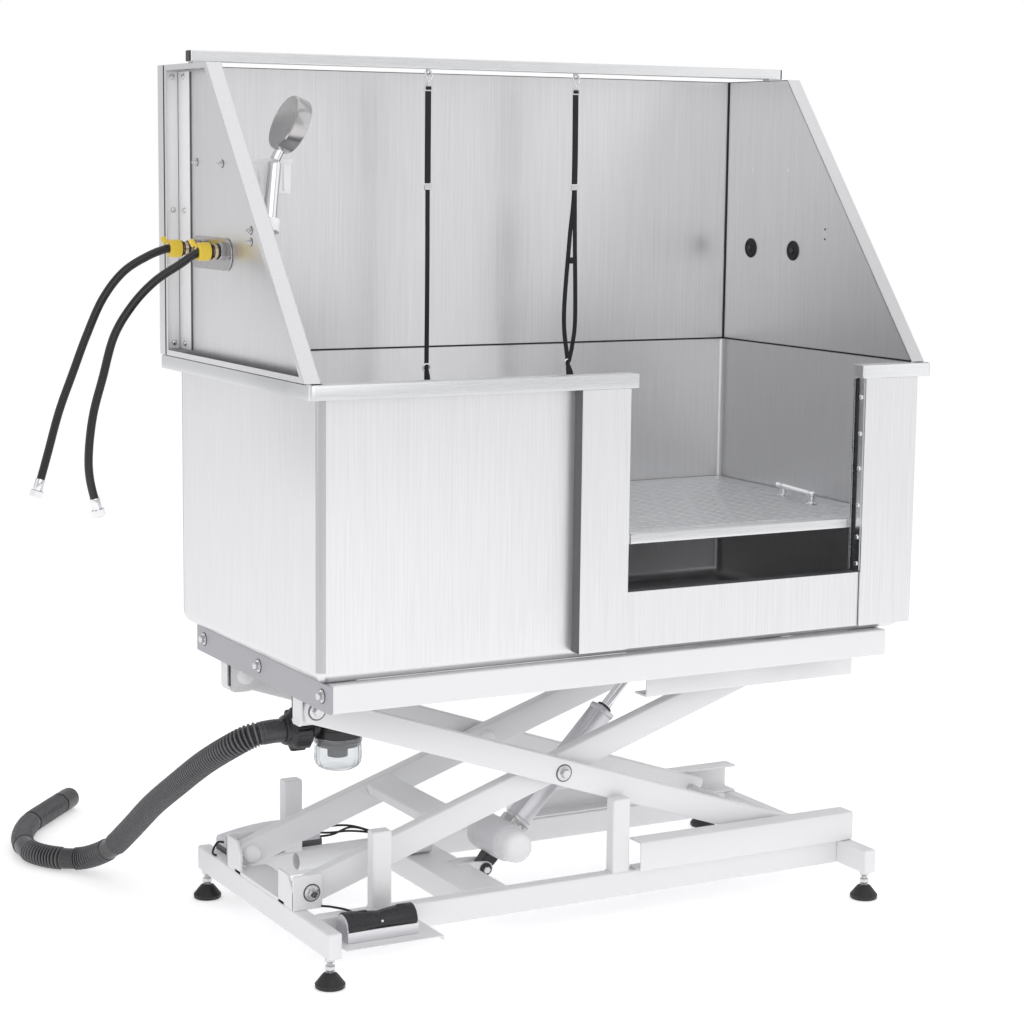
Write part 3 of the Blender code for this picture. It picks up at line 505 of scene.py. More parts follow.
def tub_shell():
    """One folded and welded skin: rounded corners, a dished bottom and the doorway cut out of its front."""
    bend, thick, low, top, steps = 0.02, 0.0016, 0.5413, 1.0455, 6
    turns = [pi / 2 * i / steps for i in range(steps + 1)]
    rings = [(bend * (1 - sin(a)), low + bend * (1 - cos(a))) for a in turns] + [(0.0, top), (thick, top)]
    rings += [(thick + bend * (1 - sin(a)) * 0.92, low + thick + bend * (1 - cos(a)) * 0.95)
              for a in reversed(turns)]
    points = []
    for inset, z in rings:
        points += [(x, y, z) for x, y in round_rect(0.607 - inset, 0.317 - inset,
            max(0.013 - inset * 0.15, 0.006))]
    size = len(points) // len(rings)
    last = len(points)
    faces = bands(len(rings), size) + [tuple(range(size))]
    faces += [(last - size + j, last - size + (j + 1) % size, last) for j in range(size)]
    points.append((DRAIN.x, DRAIN.y, 0.5435))
    shell = add("tub_shell", points, faces, "steel", None, smooth=32)
    # thin darker strips round the four outer corners: painted shade along each corner
    for i, (start, side, way) in enumerate(((180, -1, -1), (270, 1, -1), (90, -1, 1), (0, 1, 1))):
        turns = [radians(start + 90 * k / 12) for k in range(13)]
        x, y = side * 0.594, way * 0.304
        strip = [(x + 0.01315 * cos(a), y + 0.01315 * sin(a)) for a in turns]
        strip += [(x + 0.0126 * cos(a), y + 0.0126 * sin(a)) for a in reversed(turns)]
        prism("corner_fold_%d" % i, strip, "z", 0.5615, 1.0215, "fold", "tub", 0)
    door = block("door_cut", (-0.0225, -0.4, 0.6588), (0.4865, -0.28, 1.2), "steel", None, 0)
    carve(shell, [door])
    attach(shell, "tub")
    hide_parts("tub_left_wall", "tub_right_wall", "tub_back_wall", "tub_front_left",
        "tub_front_right", "door_sill", "tub_floor_pan")


def rim():
    path = [(-0.008, -0.345)]
    for sx, sy, start in ((-1, -1, 270), (-1, 1, 180), (1, 1, 90), (1, -1, 0)):
        path += [(sx * 0.626 + 0.009 * cos(radians(start - 15 * i)),
            sy * 0.336 + 0.009 * sin(radians(start - 15 * i))) for i in range(7)]
    path.append((0.478, -0.345))
    profile = mm((0, 1022), (0, 1044), (0.9, 1046.2), (3, 1047), (29.6, 1047), (29.6, 1045.4),
        (3.4, 1045.4), (1.8, 1043.6), (1.8, 1022))
    sweep("rim", path, profile, "steel_flat", "tub", flip=-1)
    for x, label in ((-0.008, "left"), (0.478, "right")):
        block("rim_end_" + label, (x - 0.002, -0.3445, 1.0235), (x + 0.0005, -0.3165, 1.0462), "steel",
            "tub", 0.0008)
    block("rim_door_fold", (0.4788, -0.344, 1.0215), (0.52, -0.332, 1.0235), "steel", "tub", 0.0006)


def stile(name, left, right, back=-0.3165, thick=0.0016):
    """A sheet folded round three sides, with soft bends."""
    outline = [(left, back), (left, TUB_FRONT), (right, TUB_FRONT), (right, back),
               (right - thick, back), (right - thick, TUB_FRONT + thick),
               (left + thick, TUB_FRONT + thick), (left + thick, back)]
    prism(name, outline, "z", TUB_LOW, TUB_TOP, "steel", "tub", 0.0012, 3)


def doorway():
    stile("left_stile", -0.12, -0.022)
    stile("right_stile", 0.486, 0.6045)
    # a thin dark sheet over the left stile's side face: painted shade
    block("left_stile_return", (-0.1206, -0.3418, 0.5572), (-0.1199, -0.3172, 1.0216), "shade", "tub",
        0.0002)
    block("left_stile_foot", (-0.1185, -0.3425, 0.557), (-0.0235, -0.3168, 0.5586), "steel", "tub",
        0.0004)
    block("right_stile_foot", (0.4875, -0.3425, 0.557), (0.6035, -0.3168, 0.5586), "steel", "tub", 0.0004)
    outline = mm((-316.5, 557), (-338.5, 557), (-338.5, 659), (-313.5, 659), (-313.5, 652), (-315.1, 652),
        (-315.1, 657.4), (-336.9, 657.4), (-336.9, 558.6), (-316.5, 558.6))
    prism("sill_cover", outline, "x", -0.0212, 0.4852, "steel", "tub", 0.0007, 2)
    for x, way, label, heights in ((0.486, -1, "right", (0.986, 0.918, 0.853, 0.784, 0.724, 0.674)),
                                   (-0.022, 1, "left", (0.986, 0.9, 0.812))):
        block("guide_%s" % label, (x, -0.3385, 0.662), (x + way * 0.0012, -0.3215, 1.02), "steel_flat",
            "tub", 0.0004)
        block("guide_lip_%s" % label, (x - way * 0.001, -0.3215, 0.6605),
            (x + way * 0.0042, -0.3185, 1.021), "gasket", "tub", 0.0006)
        for i, z in enumerate(heights):
            dome("guide_head_%s_%d" % (label, i), (x + way * 0.001, -0.33, z), (way, 0, 0), 0.0047,
                "chrome", "tub", 0.5)
    for label, y in (("front", -0.3161), ("back", -0.312)):
        block("seal_seat_" + label, (0.4795, y - 0.0008, 0.662), (0.4862, y + 0.0008, 1.02), "steel_flat",
            "tub", 0.0003)


def perforated(name, left, right, body, node):
    """A raised floor panel: folded edges and rows of short slots."""
    cell_x, cell_y = 0.0286, 0.0269
    half_y, top, thick = 0.311, 0.757, 0.0012
    margin = 0.026
    nx = int((right - left - 2 * margin) / cell_x)
    ny = int((2 * half_y - 2 * margin) / cell_y)
    x0, y0 = (left + right - nx * cell_x) / 2, -ny * cell_y / 2
    slot_l, slot_w = 0.004, 0.0014
    points, faces = [], []
    for i in range(nx):
        for j in range(ny):
            cx, cy = x0 + (i + 0.5) * cell_x, y0 + (j + 0.5) * cell_y
            square = [(-cell_x / 2, -cell_y / 2), (cell_x / 2, -cell_y / 2), (cell_x / 2, cell_y / 2),
                (-cell_x / 2, cell_y / 2)]
            base = len(points)
            points += [(cx + u, cy + v, top) for u, v in square]
            if (i + 2 * j) % 5 == 0:
                faces.append((base, base + 1, base + 2, base + 3))
                continue
            hole = [(-slot_l, -slot_w), (slot_l, -slot_w), (slot_l + 0.0014, 0), (slot_l, slot_w),
                (-slot_l, slot_w), (-slot_l - 0.0014, 0)]
            points += [(cx + u, cy + v, top) for u, v in hole]
            h = base + 4
            faces += [(base, base + 1, h + 1, h), (base + 1, h + 2, h + 1), (base + 1, base + 2, h + 2),
                (base + 2, h + 3, h + 2), (base + 2, base + 3, h + 4, h + 3), (base + 3, h + 5, h + 4),
                (base + 3, base, h + 5), (base, h, h + 5)]
    x1, y1 = x0 + nx * cell_x, y0 + ny * cell_y
    edges_x, edges_y = [left, x0, x1, right], [-half_y, y0, y1, half_y]
    for a in range(3):
        for b in range(3):
            if a == 1 and b == 1:
                continue
            base = len(points)
            points += [(edges_x[a], edges_y[b], top), (edges_x[a + 1], edges_y[b], top),
                       (edges_x[a + 1], edges_y[b + 1], top), (edges_x[a], edges_y[b + 1], top)]
            faces.append((base, base + 1, base + 2, base + 3))
    made = add(name, points, faces, "deck", body)
    work = bmesh.new()
    work.from_mesh(made.data)
    for face in work.faces:
        if face.normal.z < 0:
            face.normal_flip()
    work.to_mesh(made.data)
    work.free()
    solid = made.modifiers.new("thick", "SOLIDIFY")
    solid.thickness, solid.offset = thick, -1
    path = [(left, -half_y), (left, half_y), (right, half_y), (right, -half_y)]
    profile = mm((0, 740), (0, 755.6), (0.6, 756.6), (1.6, 757), (3, 757), (3, 755.4), (1.6, 755.4),
        (1.6, 741.6), (12, 741.6), (12, 740))
    sweep(name + "_fold", path, profile, "steel_flat", body, closed=True, flip=-1)
    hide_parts(node)


def lift_handle(name, first, second, body):
    """A round bar on two turned posts."""
    a, b = Vector((*first, 0.7565)), Vector((*second, 0.7565))
    for i, spot in enumerate((a, b)):
        lathe("%s_post_%d" % (name, i), mm((0, 0), (12, 0), (12.5, 1.5), (9, 3), (6.5, 4.5), (6.5, 15),
            (9.5, 16.5), (10, 21.5), (8, 24), (0, 24.5)), spot, UP, "chrome", body, 24)
    way = (b - a).normalized()
    rod(name + "_bar", a + Vector((0, 0, 0.0195)) - way * 0.024, b + Vector((0, 0, 0.0195)) + way * 0.007,
        0.0058, "chrome", body, 24)


def tray(name, outline, plane, back, front, node, lip=0.01):
    """A sheet tray: a flat plate, four flanges and short return lips."""
    sign = 1 if front > back else -1
    t = 0.0016 * sign
    profile = [(0.0, back), (0.0, front - 0.5 * t), (0.0008, front), (lip, front), (lip, front - t),
        (abs(t), front - t), (abs(t), back)]
    area = sum(a[0] * b[1] - b[0] * a[1] for a, b in zip(outline, outline[1:] + outline[:1]))
    sweep(name, outline, profile, "steel", "tub", closed=True, plane=plane, flip=1 if area > 0 else -1)
    axis = {"yz": "x", "xz": "y"}[plane]
    plate = prism(name + "_plate", outline, axis, back, back + t, "steel", "tub", 0.0005, 2)
    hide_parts(node)


def splash_guards():
    side = [(-0.322, GUARD_LOW), (0.312, GUARD_LOW), (0.312, GUARD_TOP), (0.106, GUARD_TOP)]
    tray("splash_left", side, "yz", -0.605, -0.635, "splash_panel_left")
    tray("splash_right", side, "yz", 0.605, 0.635, "splash_panel_right")
    back = [(-0.635, GUARD_LOW), (0.635, GUARD_LOW), (0.635, GUARD_TOP), (-0.635, GUARD_TOP)]
    tray("splash_back", back, "xz", 0.315, 0.345, "splash_panel_back", 0.012)
    for s in (-1, 1):
        block("corner_gasket_%d" % (s > 0), (s * 0.6032, 0.3122, 1.0485), (s * 0.6358, 0.315, 1.577),
            "gasket", "tub", 0.0004)
        block("side_bead_%d" % (s > 0), (s * 0.6032, -0.319, 1.0466), (s * 0.606, 0.3125, 1.05), "gasket",
            "tub", 0.0006)
        block("side_pad_%d" % (s > 0), (s * 0.6062, -0.32, 1.0468), (s * 0.6342, 0.3118, 1.05), "gasket",
            "tub", 0.0003)
    block("back_bead", (-0.604, 0.3128, 1.0466), (0.604, 0.3155, 1.05), "gasket", "tub", 0.0006)
    beam_rail()
    left_corner_angle()
    fittings_on_right()


def beam_rail():
    rail = block("rail_skin", (-0.636, 0.173, 1.5803), (0.636, 0.193, 1.6003), "steel_flat", "tub",
        0.0022, 4)
    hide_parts("top_rail")
    for s in (-1, 1):
        block("rail_cap_%d" % (s > 0), (s * 0.6355, 0.1732, 1.5805), (s * 0.6385, 0.1928, 1.6001),
            "black", "tub", 0.0018)
        block("rail_seat_%d" % (s > 0), (s * 0.606, 0.1715, 1.5778), (s * 0.633, 0.1945, 1.5808), "zinc",
            "tub", 0.0008)
        hex_bolt("rail_bolt_%d" % (s > 0), (s * 0.62, 0.183, 1.5765), (0, 0, -1), 0.01, "zinc", "tub")


def left_corner_angle():
    """The folded strip that ties the left guard to the back one, with its bolts and the shelf's."""
    # the steel angle takes the white cap colour: a painted highlight standing in for its bright reflection
    outline = mm((-633.5, 311.6), (-606.8, 311.6), (-606.8, 252), (-608.4, 252), (-608.4, 310),
        (-633.5, 310))
    prism("corner_angle", outline, "z", 1.06, 1.566, "cap", "tub", 0.0006, 2)
    # dark strips in the angle's crease and along its edge: painted shade
    block("angle_fold_line", (-0.6092, 0.3094, 1.061), (-0.608, 0.3106, 1.565), "shade", "tub", 0)
    block("angle_edge_line", (-0.6088, 0.25, 1.061), (-0.6068, 0.252, 1.565), "shade", "tub", 0)
    for i, z in enumerate((1.557, 1.315, 1.071)):
        dome("angle_bolt_y_%d" % i, (-0.62, 0.31, z), FRONT, 0.0052, "zinc", "tub", 0.55)
        dome("angle_bolt_x_%d" % i, (-0.6084, 0.281, z), LEFT, 0.0052, "zinc", "tub", 0.55)
    for i, (y, z) in enumerate(((0.223, 1.403), (0.1, 1.401), (-0.03, 1.288), (-0.03, 1.268))):
        hex_bolt("shelf_bolt_%d" % i, (-0.6066, y, z), LEFT, 0.0075, "zinc", "tub")
        rod("shelf_stud_%d" % i, (-0.611, y, z), (-0.6165, y, z), 0.0024, "zinc", "tub", 12)


def fittings_on_right():
    for i, y in enumerate((0.22, 0.071)):
        lathe("plug_%d" % i, mm((0, -1), (19.5, -1), (20, 0.6), (18.5, 2.2), (15, 3), (14, 1.8),
            (0, 1.8)), (0.6045, y, 1.24), LEFT, "gasket", "tub", 32)
        lathe("plug_rib_%d" % i, mm((0, 0), (6, 0), (5, 3), (0, 3.4)), (0.603, y, 1.24), LEFT, "black",
            "tub", 20)
    for i, (y, z, r) in enumerate(((0.219, 1.399, 0.0042), (0.095, 1.399, 0.0042),
            (-0.036, 1.2855, 0.0019), (-0.036, 1.2664, 0.0019))):
        look = "cap" if r > 0.003 else "gasket"
        lathe("screw_hole_%d" % i, [(r * 0.62, 0), (r, 0), (r * 1.05, 0.0007), (r * 0.62, 0.0009)],
            (0.605, y, z), LEFT, look, "tub", 20)
        lathe("screw_back_%d" % i, [(0, 0), (r * 0.66, 0), (r * 0.66, 0.0004), (0, 0.0004)],
            (0.6049, y, z), LEFT, look, "tub", 16)


# --- upper frame -------------------------------------------------------------

def channel(node, side, low, high, x0, x1, body):
    """A C channel with soft bends, open towards the arms."""
    web, tip = LIFT_Y + side * 0.227, LIFT_Y + side * 0.185
    t = 0.004
    inner = web - side * t
    outline = [(tip, low), (web - side * 0.005, low), (web - side * 0.0015, low + 0.0015),
        (web, low + 0.005), (web, high - 0.005), (web - side * 0.0015, high - 0.0015),
        (web - side * 0.005, high), (tip, high), (tip, high - t), (inner - side * 0.002, high - t),
        (inner, high - t - 0.002), (inner, low + t + 0.002), (inner - side * 0.002, low + t),
        (tip, low + t)]
    made = prism(node + "_skin", outline, "x", x0, x1, "white", body, 0.0006, 2)
    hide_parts(node)


def upper_frame():
    for label, x0, y0, x1, y1, top in (("front", -0.5856, -0.326, 0.564, -0.298, FRAME_TOP),
                                       ("back", -0.5856, 0.25, 0.564, 0.278, FRAME_TOP),
                                       ("left", -0.5855, -0.2975, -0.526, 0.2495, 0.5405),
                                       ("right", 0.504, -0.2975, 0.564, 0.2495, 0.5405),
                                       ("middle", 0.2853, -0.2975, 0.3453, 0.2495, 0.5405)):
        beam("upper_%s_beam" % label, (x0, y0, FRAME_LOW), (x1, y1, top), "white", "tub", 0.0032)
    plate = block("end_plate", (-0.592, -0.326, FRAME_LOW), (-0.586, 0.278, FRAME_TOP), "plate", "tub",
        0.0014)
    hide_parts("upper_end_plate")
    for i, (y, z) in enumerate(((0.24, 0.519), (-0.022, 0.518), (-0.297, 0.519))):
        hex_bolt("plate_bolt_%d" % i, (-0.592, y, z), LEFT, 0.013, "zinc", "tub")
    for y in (-0.05, 0.014):
        prism("cheek_%d" % (y > 0), mm((235.5, 492), (235.5, 508), (247, 520), (286, 520), (286, 480),
            (243, 480)), "y", y, y + 0.006, "white", "tub", 0.001, 2)
    for side, label in ((-1, "front"), (1, "back")):
        face = LIFT_Y + side * (0.18 - 0.028 - 0.001)
        low, left, right = HIGH_Z - 0.031, PIVOT_X - 0.033, PIVOT_X + 0.027
        outline = [(left, 0.4925), (left, low + 0.014), (left + 0.004, low + 0.004), (left + 0.014, low),
            (right - 0.018, low), (right - 0.006, low + 0.004), (right, low + 0.018), (right, 0.4925)]
        prism("hanger_flange_" + label, outline, "y", face, face - side * 0.006, "white", "tub", 0.001, 2)
        near, far = sorted((face - side * 0.006, LIFT_Y + side * 0.183))
        web = [(near, 0.4925), (near, low + 0.012), (near + 0.006, low + 0.006),
            (far - 0.006, low + 0.006), (far, low + 0.012), (far, 0.4925)]
        prism("hanger_web_" + label, web, "x", left, left + 0.005, "white", "tub", 0.001, 2)
        channel("upper_track_" + label, side, 0.433, 0.4917, 0.097, 0.564, "tub")


# --- base --------------------------------------------------------------------

def base_frame():
    beam("base_left_beam", (-0.58, -0.296, 0.053), (-0.553, 0.315, 0.1), "white", "base")
    beam("base_right_beam", (0.555, -0.296, 0.053), (0.582, 0.315, 0.1), "white", "base")
    for side, label in ((-1, "front"), (1, "back")):
        low, high = sorted((LIFT_Y + side * 0.21, LIFT_Y + side * 0.182))
        beam("base_%s_beam" % label, (-0.5535, low, 0.053), (0.5555, high, 0.1), "white", "base", 0.0035)
        for i, (x0, x1) in enumerate(((-0.452, -0.415), (0.041, 0.078))):
            block("post_%s_%d" % (label, i), (x0, low + 0.0005, 0.0985), (x1, high - 0.0005, 0.241),
                "white", "base", 0.004, 4)
            sweep("post_weld_%s_%d" % (label, i), [(x0 - 0.0012, low), (x1 + 0.0012, low),
                (x1 + 0.0012, high), (x0 - 0.0012, high)], mm((0, 99.5), (0.6, 100.8), (2, 102.2),
                (3, 99.5)), "white", "base", closed=True)
        channel("lower_track_" + label, side, 0.1003, 0.1573, 0.092, 0.579, "base")
    beam("base_middle_beam", (-0.255, -0.1768, 0.054), (-0.169, 0.1868, 0.1), "white", "base", 0.003)
    for y in (-0.035, -0.001):
        outline = mm((-205, 100), (-200, 103.5), (-160, 103.5), (-131, 100.5), (-123.5, 95), (-121, 87),
            (-123.5, 79), (-131, 74), (-169.5, 71), (-169.5, 99))
        prism("lug_%d" % (y > -0.02), outline, "y", y, y + 0.006, "white", "base", 0.0008, 2)
    rod("lug_pin", (-0.137, -0.04, 0.087), (-0.137, 0.01, 0.087), 0.0065, "zinc", "base")
    lathe("lug_washer", mm((6.6, 0), (12.5, 0), (12.5, 2), (6.6, 2)), (-0.137, -0.0352, 0.087), FRONT,
        "black", "base", 24)
    hex_bolt("lug_head", (-0.137, -0.0372, 0.087), FRONT, 0.0125, "zinc", "base", False)
    yoke()
    conduit = lathe("conduit_skin", mm((15.5, 0), (17.2, -0.3), (17.5, 0.6), (17.5, 276), (15.5, 277)),
        (-0.477, 0.077, 0.118), RIGHT, "white", "base", 40)
    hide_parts("cable_conduit")


def yoke():
    """The lower pivot brackets: a flange beside each arm and a folded plate between."""
    left, right, top = PIVOT_X - 0.035, PIVOT_X + 0.021, LOW_Z + 0.034
    plate = prism("yoke_plate", [(left, 0.1003), (left, 0.107), (right + 0.004, 0.107),
        (right + 0.012, 0.1035), (right + 0.012, 0.1003)], "y", LIFT_Y - 0.115, LIFT_Y + 0.115, "white",
        "base", 0.001, 2)
    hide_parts("lower_pivot_yoke")
    for side, label in ((-1, "front"), (1, "back")):
        face = LIFT_Y + side * 0.151
        outline = [(left, 0.1003), (right, 0.1003), (right, top - 0.003), (right - 0.003, top),
            (left + 0.003, top), (left, top - 0.003)]
        prism("yoke_flange_" + label, outline, "y", face, face + side * 0.006, "white", "base", 0.0012, 3)
        near, far = sorted((LIFT_Y + side * 0.088, face + side * 0.005))
        if side < 0:
            upper = [(far, top - 0.002), (near + 0.028, top - 0.002), (near, top - 0.03)]
        else:
            upper = [(far, top - 0.03), (far, top - 0.002), (near + 0.018, top - 0.002),
                (near, top - 0.024)]
        outline = [(near, 0.1003), (far, 0.1003)] + upper
        prism("yoke_web_" + label, outline, "x", left, left + 0.005, "white", "base", 0.001, 2)


def levelling_foot(label, x, y):
    body = "foot_%s_body" % label

    def ripple(angle, height):
        return 1.0 + (0.012 * cos(12 * angle) if 0.003 < height < 0.02 else 0.0)

    pad = lathe("pad_" + label, mm((0, 0), (24.5, 0), (26.2, 1.5), (26.6, 7.5), (22.5, 12.5),
        (16.5, 20.5), (12.5, 25), (9, 26.8), (0, 26.8)), (x, y, 0), UP, "pad", body, 48, ripple)
    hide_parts("foot_" + label)
    lathe("stud_" + label, mm((0, 25.5), (7.2, 25.5), (7.6, 28.5), (5, 30.5), (4.8, 85), (0, 85)),
        (x, y, 0), UP, "zinc", body, 24)
    lathe("nut_" + label, mm((4.5, 31.5), (9.2, 31.5), (9.8, 32.5), (9.8, 38), (9.2, 39), (4.5, 39)),
          (x, y, 0), UP, "zinc", body, 6, smooth=20)
    for i in range(3):
        lathe("thread_%s_%d" % (label, i), [(0.0046, 0.0), (0.006, 0.001), (0.0046, 0.002)],
            (x, y, 0.0395 + i * 0.0022), UP, "zinc", body, 20)
    lathe("lock_nut_" + label, mm((6.2, 47), (9.8, 47), (10.4, 48), (10.4, 52.2), (6.2, 52.8)),
          (x, y, 0), UP, "zinc", "base", 6, smooth=20)


# --- scissor -----------------------------------------------------------------

def arm(node, pivot, roller, low_y, high_y, body):
    """A square tube: clipped corners at the pivot, open past the roller."""
    along = Vector((roller[0] - pivot[0], roller[1] - pivot[1])).normalized()
    up = Vector((-along.y, along.x))
    length = 2 * REACH + 0.026

    def drawn(places):
        spots = [Vector(pivot) + along * distance + up * height for distance, height in places]
        return [tuple(spot) for spot in spots]

    corners = drawn(((-0.025, -0.009), (-0.014, -0.023), (-0.004, -0.025), (length, -0.025),
        (length, 0.025), (-0.004, 0.025), (-0.014, 0.023), (-0.025, 0.01)))
    made = prism(node + "_skin", corners, "y", low_y, high_y, "white", body, 0.0042, 4)
    hollow = drawn(((length - 0.08, -0.022), (length + 0.02, -0.022), (length + 0.02, 0.022),
        (length - 0.08, 0.022)))
    cutter = prism("hollow", hollow, "y", low_y + 0.003, high_y - 0.003, "white", None, 0)
    carve(made, [cutter])
    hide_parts(node)


def scissor():
    for side, label in ((-1, "front"), (1, "back")):
        low, high = sorted((LIFT_Y + side * 0.18, LIFT_Y + side * 0.152))
        arm("outer_arm_" + label, (PIVOT_X, HIGH_Z), (ROLLER_X, LOW_Z), low, high, "outer_arms")
        low, high = sorted((LIFT_Y + side * 0.148, LIFT_Y + side * 0.12))
        arm("inner_arm_" + label, (PIVOT_X, LOW_Z), (ROLLER_X, HIGH_Z), low, high, "inner_arms")
        outer = LIFT_Y + side * 0.18
        hex_bolt("centre_bolt_" + label, (MIDDLE[0], outer, MIDDLE[1]), (0, side, 0), 0.0165, "zinc",
            "outer_arms")
        hex_bolt("hanger_bolt_" + label, (PIVOT_X, outer, HIGH_Z), (0, side, 0), 0.0165, "zinc",
            "outer_arms")
        inner = LIFT_Y + side * 0.12
        dome("centre_cap_" + label, (MIDDLE[0], inner, MIDDLE[1]), (0, -side, 0), 0.0165, "cap",
            "inner_arms", 0.6)
        dome("low_cap_" + label, (PIVOT_X, inner, LOW_Z), (0, -side, 0), 0.0175, "cap", "inner_arms", 0.6)
        dome("hanger_cap_" + label, (PIVOT_X, LIFT_Y + side * 0.145, HIGH_Z), (0, -side, 0), 0.0165,
            "cap", "tub", 0.6)
        face = LIFT_Y + side * 0.157
        hex_bolt("low_bolt_" + label, (PIVOT_X, face, LOW_Z + 0.0015), (0, side, 0), 0.016, "zinc",
            "base")
        rod("centre_shaft_" + label, (MIDDLE[0], LIFT_Y + side * 0.1475, MIDDLE[1]),
            (MIDDLE[0], LIFT_Y + side * 0.1525, MIDDLE[1]), 0.009, "zinc", "inner_arms")
        rod("hanger_shaft_" + label, (PIVOT_X, LIFT_Y + side * 0.1505, HIGH_Z),
            (PIVOT_X, LIFT_Y + side * 0.1525, HIGH_Z), 0.009, "zinc", "tub")
        rod("low_shaft_" + label, (PIVOT_X, LIFT_Y + side * 0.1475, LOW_Z),
            (PIVOT_X, LIFT_Y + side * 0.1515, LOW_Z), 0.009, "zinc", "inner_arms")
    along = Vector((cos(ANGLE), sin(ANGLE)))
    up = Vector((-along.y, along.x))
    start = Vector((PIVOT_X, LOW_Z)) + along * 0.256 + up * 0.0248
    corners = [start, start + along * 0.052, start + along * 0.052 - up * 0.022, start - up * 0.022]
    tube = prism("cross_tube_skin", [tuple(c) for c in corners], "y", LIFT_Y - 0.1205, LIFT_Y + 0.1205,
        "white", "inner_arms", 0.003, 4)
    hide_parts("inner_cross_tube")
    for height, node, body in ((LOW_Z, "lower_roller_axle", "lower_axle"),
            (HIGH_Z, "upper_roller_axle", "upper_axle")):
        axle = rod(node + "_bar", (ROLLER_X, LIFT_Y - 0.212, height), (ROLLER_X, LIFT_Y + 0.212, height),
            0.01, "zinc", body)
        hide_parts(node)
        for side in (-1, 1):
            lathe("%s_roller_%d" % (node, side > 0), mm((0, -14.5), (20, -14.5), (22.8, -12), (23, -10),
                (23, 10), (22.8, 12), (20, 14.5), (0, 14.5)), (ROLLER_X, LIFT_Y + side * 0.2055, height),
                (0, side, 0), "black", body, 40)
            lathe("%s_clip_%d" % (node, side > 0), mm((9.8, 0), (14, 0), (14, 1.5), (9.8, 1.5)),
                (ROLLER_X, LIFT_Y + side * 0.1875, height), (0, side, 0), "zinc", body, 24)


# --- actuator ----------------------------------------------------------------

def actuator():
    pin, top = Vector((-0.137, -0.015, 0.087)), Vector((0.255, -0.015, 0.5))
    way = (top - pin).normalized()
    across = Vector((-way.z, 0.0, way.x))
    y = pin.y

    def spot(distance, height):
        p = pin + way * distance + across * height
        return p.x, p.z

    tube = prism("actuator_tube", [spot(0.085, -0.018), spot(0.386, -0.018), spot(0.386, 0.018),
        spot(0.085, 0.018)], "y", y - 0.018, y + 0.018, "tube", None, 0.003, 3)
    hole = rod("hole", pin + way * 0.15, pin + way * 0.41, 0.0128, "tube", None, 32, 0)
    carve(tube, [hole])
    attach(tube, "actuator_case")
    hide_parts("actuator_body")
    for i, (s0, s1, w) in enumerate(((0.374, 0.386, 0.0192), (0.084, 0.112, 0.0215),
            (0.116, 0.12, 0.0192))):
        band = [spot(s0, -w), spot(s1, -w), spot(s1, w), spot(s0, w)]
        collar = prism("tube_collar_%d" % i, band, "y", y - w, y + w, "satin" if i == 1 else "tube", None,
            0.003, 3)
        bore = rod("bore", pin + way * (s0 - 0.02), pin + way * (s1 + 0.02), 0.0128, "tube", None, 32, 0)
        carve(collar, [bore])
        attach(collar, "actuator_case")
    for i, s0 in enumerate((0.091, 0.103)):
        x, z = spot(s0, 0.0)
        hex_bolt("collar_screw_%d" % i, (x, y - 0.0215, z), FRONT, 0.0065, "zinc", "actuator_case", False)
    neck = [spot(-0.01, -0.008), spot(-0.008, -0.01), spot(0.02, -0.014), spot(0.048, -0.014),
        spot(0.048, 0.014), spot(0.02, 0.014), spot(-0.008, 0.01), spot(-0.01, 0.008)]
    prism("actuator_neck", neck, "y", y - 0.0125, y + 0.0125, "black", "actuator_case", 0.0015, 3)
    body = Vector((-0.105, 0.0398, 0.142))
    lathe("motor", mm((0, 0), (30, 0), (33.5, 1.2), (35.5, 4.5), (36, 9), (36, 30), (35.3, 31),
        (35.3, 32), (36, 33), (36, 104), (35.2, 109), (32.5, 112), (0, 112)), body, FRONT, "motor",
        "actuator_case", 64)
    lathe("motor_cap", mm((0, 0), (30.8, 0), (31, 23), (30, 29), (27.2, 35), (22.5, 38.8), (16.5, 40.2),
        (15, 39.6), (14, 39.6), (0, 39.9)), body + Vector((0, -0.1115, 0)), FRONT, "cap", "actuator_case",
        56)
    shaft = rod("actuator_shaft_bar", pin + way * 0.2735, top - way * 0.004, 0.0102, "chrome",
        "actuator_shaft", 36)
    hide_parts("actuator_rod")
    lathe("rod_wiper", mm((10.4, 0), (15, 0), (15, 3), (12.5, 4.5), (10.4, 4.5)), pin + way * 0.3875, way,
        "black", "actuator_case", 32)
    lathe("rod_end", mm((0, -12.5), (13, -12.5), (13.8, -11.5), (13.8, 11.5), (13, 12.5), (0, 12.5)), top,
        BACK, "zinc", "actuator_shaft", 36)
    rod("rod_pin", top + Vector((0, -0.0268, 0)), top + Vector((0, 0.0268, 0)), 0.006, "zinc",
        "actuator_shaft")


# --- electrics ---------------------------------------------------------------

PEDAL = Matrix.Translation((-0.468, -0.2565, 0.0))


def on_pedal(made):
    made.data.transform(PEDAL)
    return made


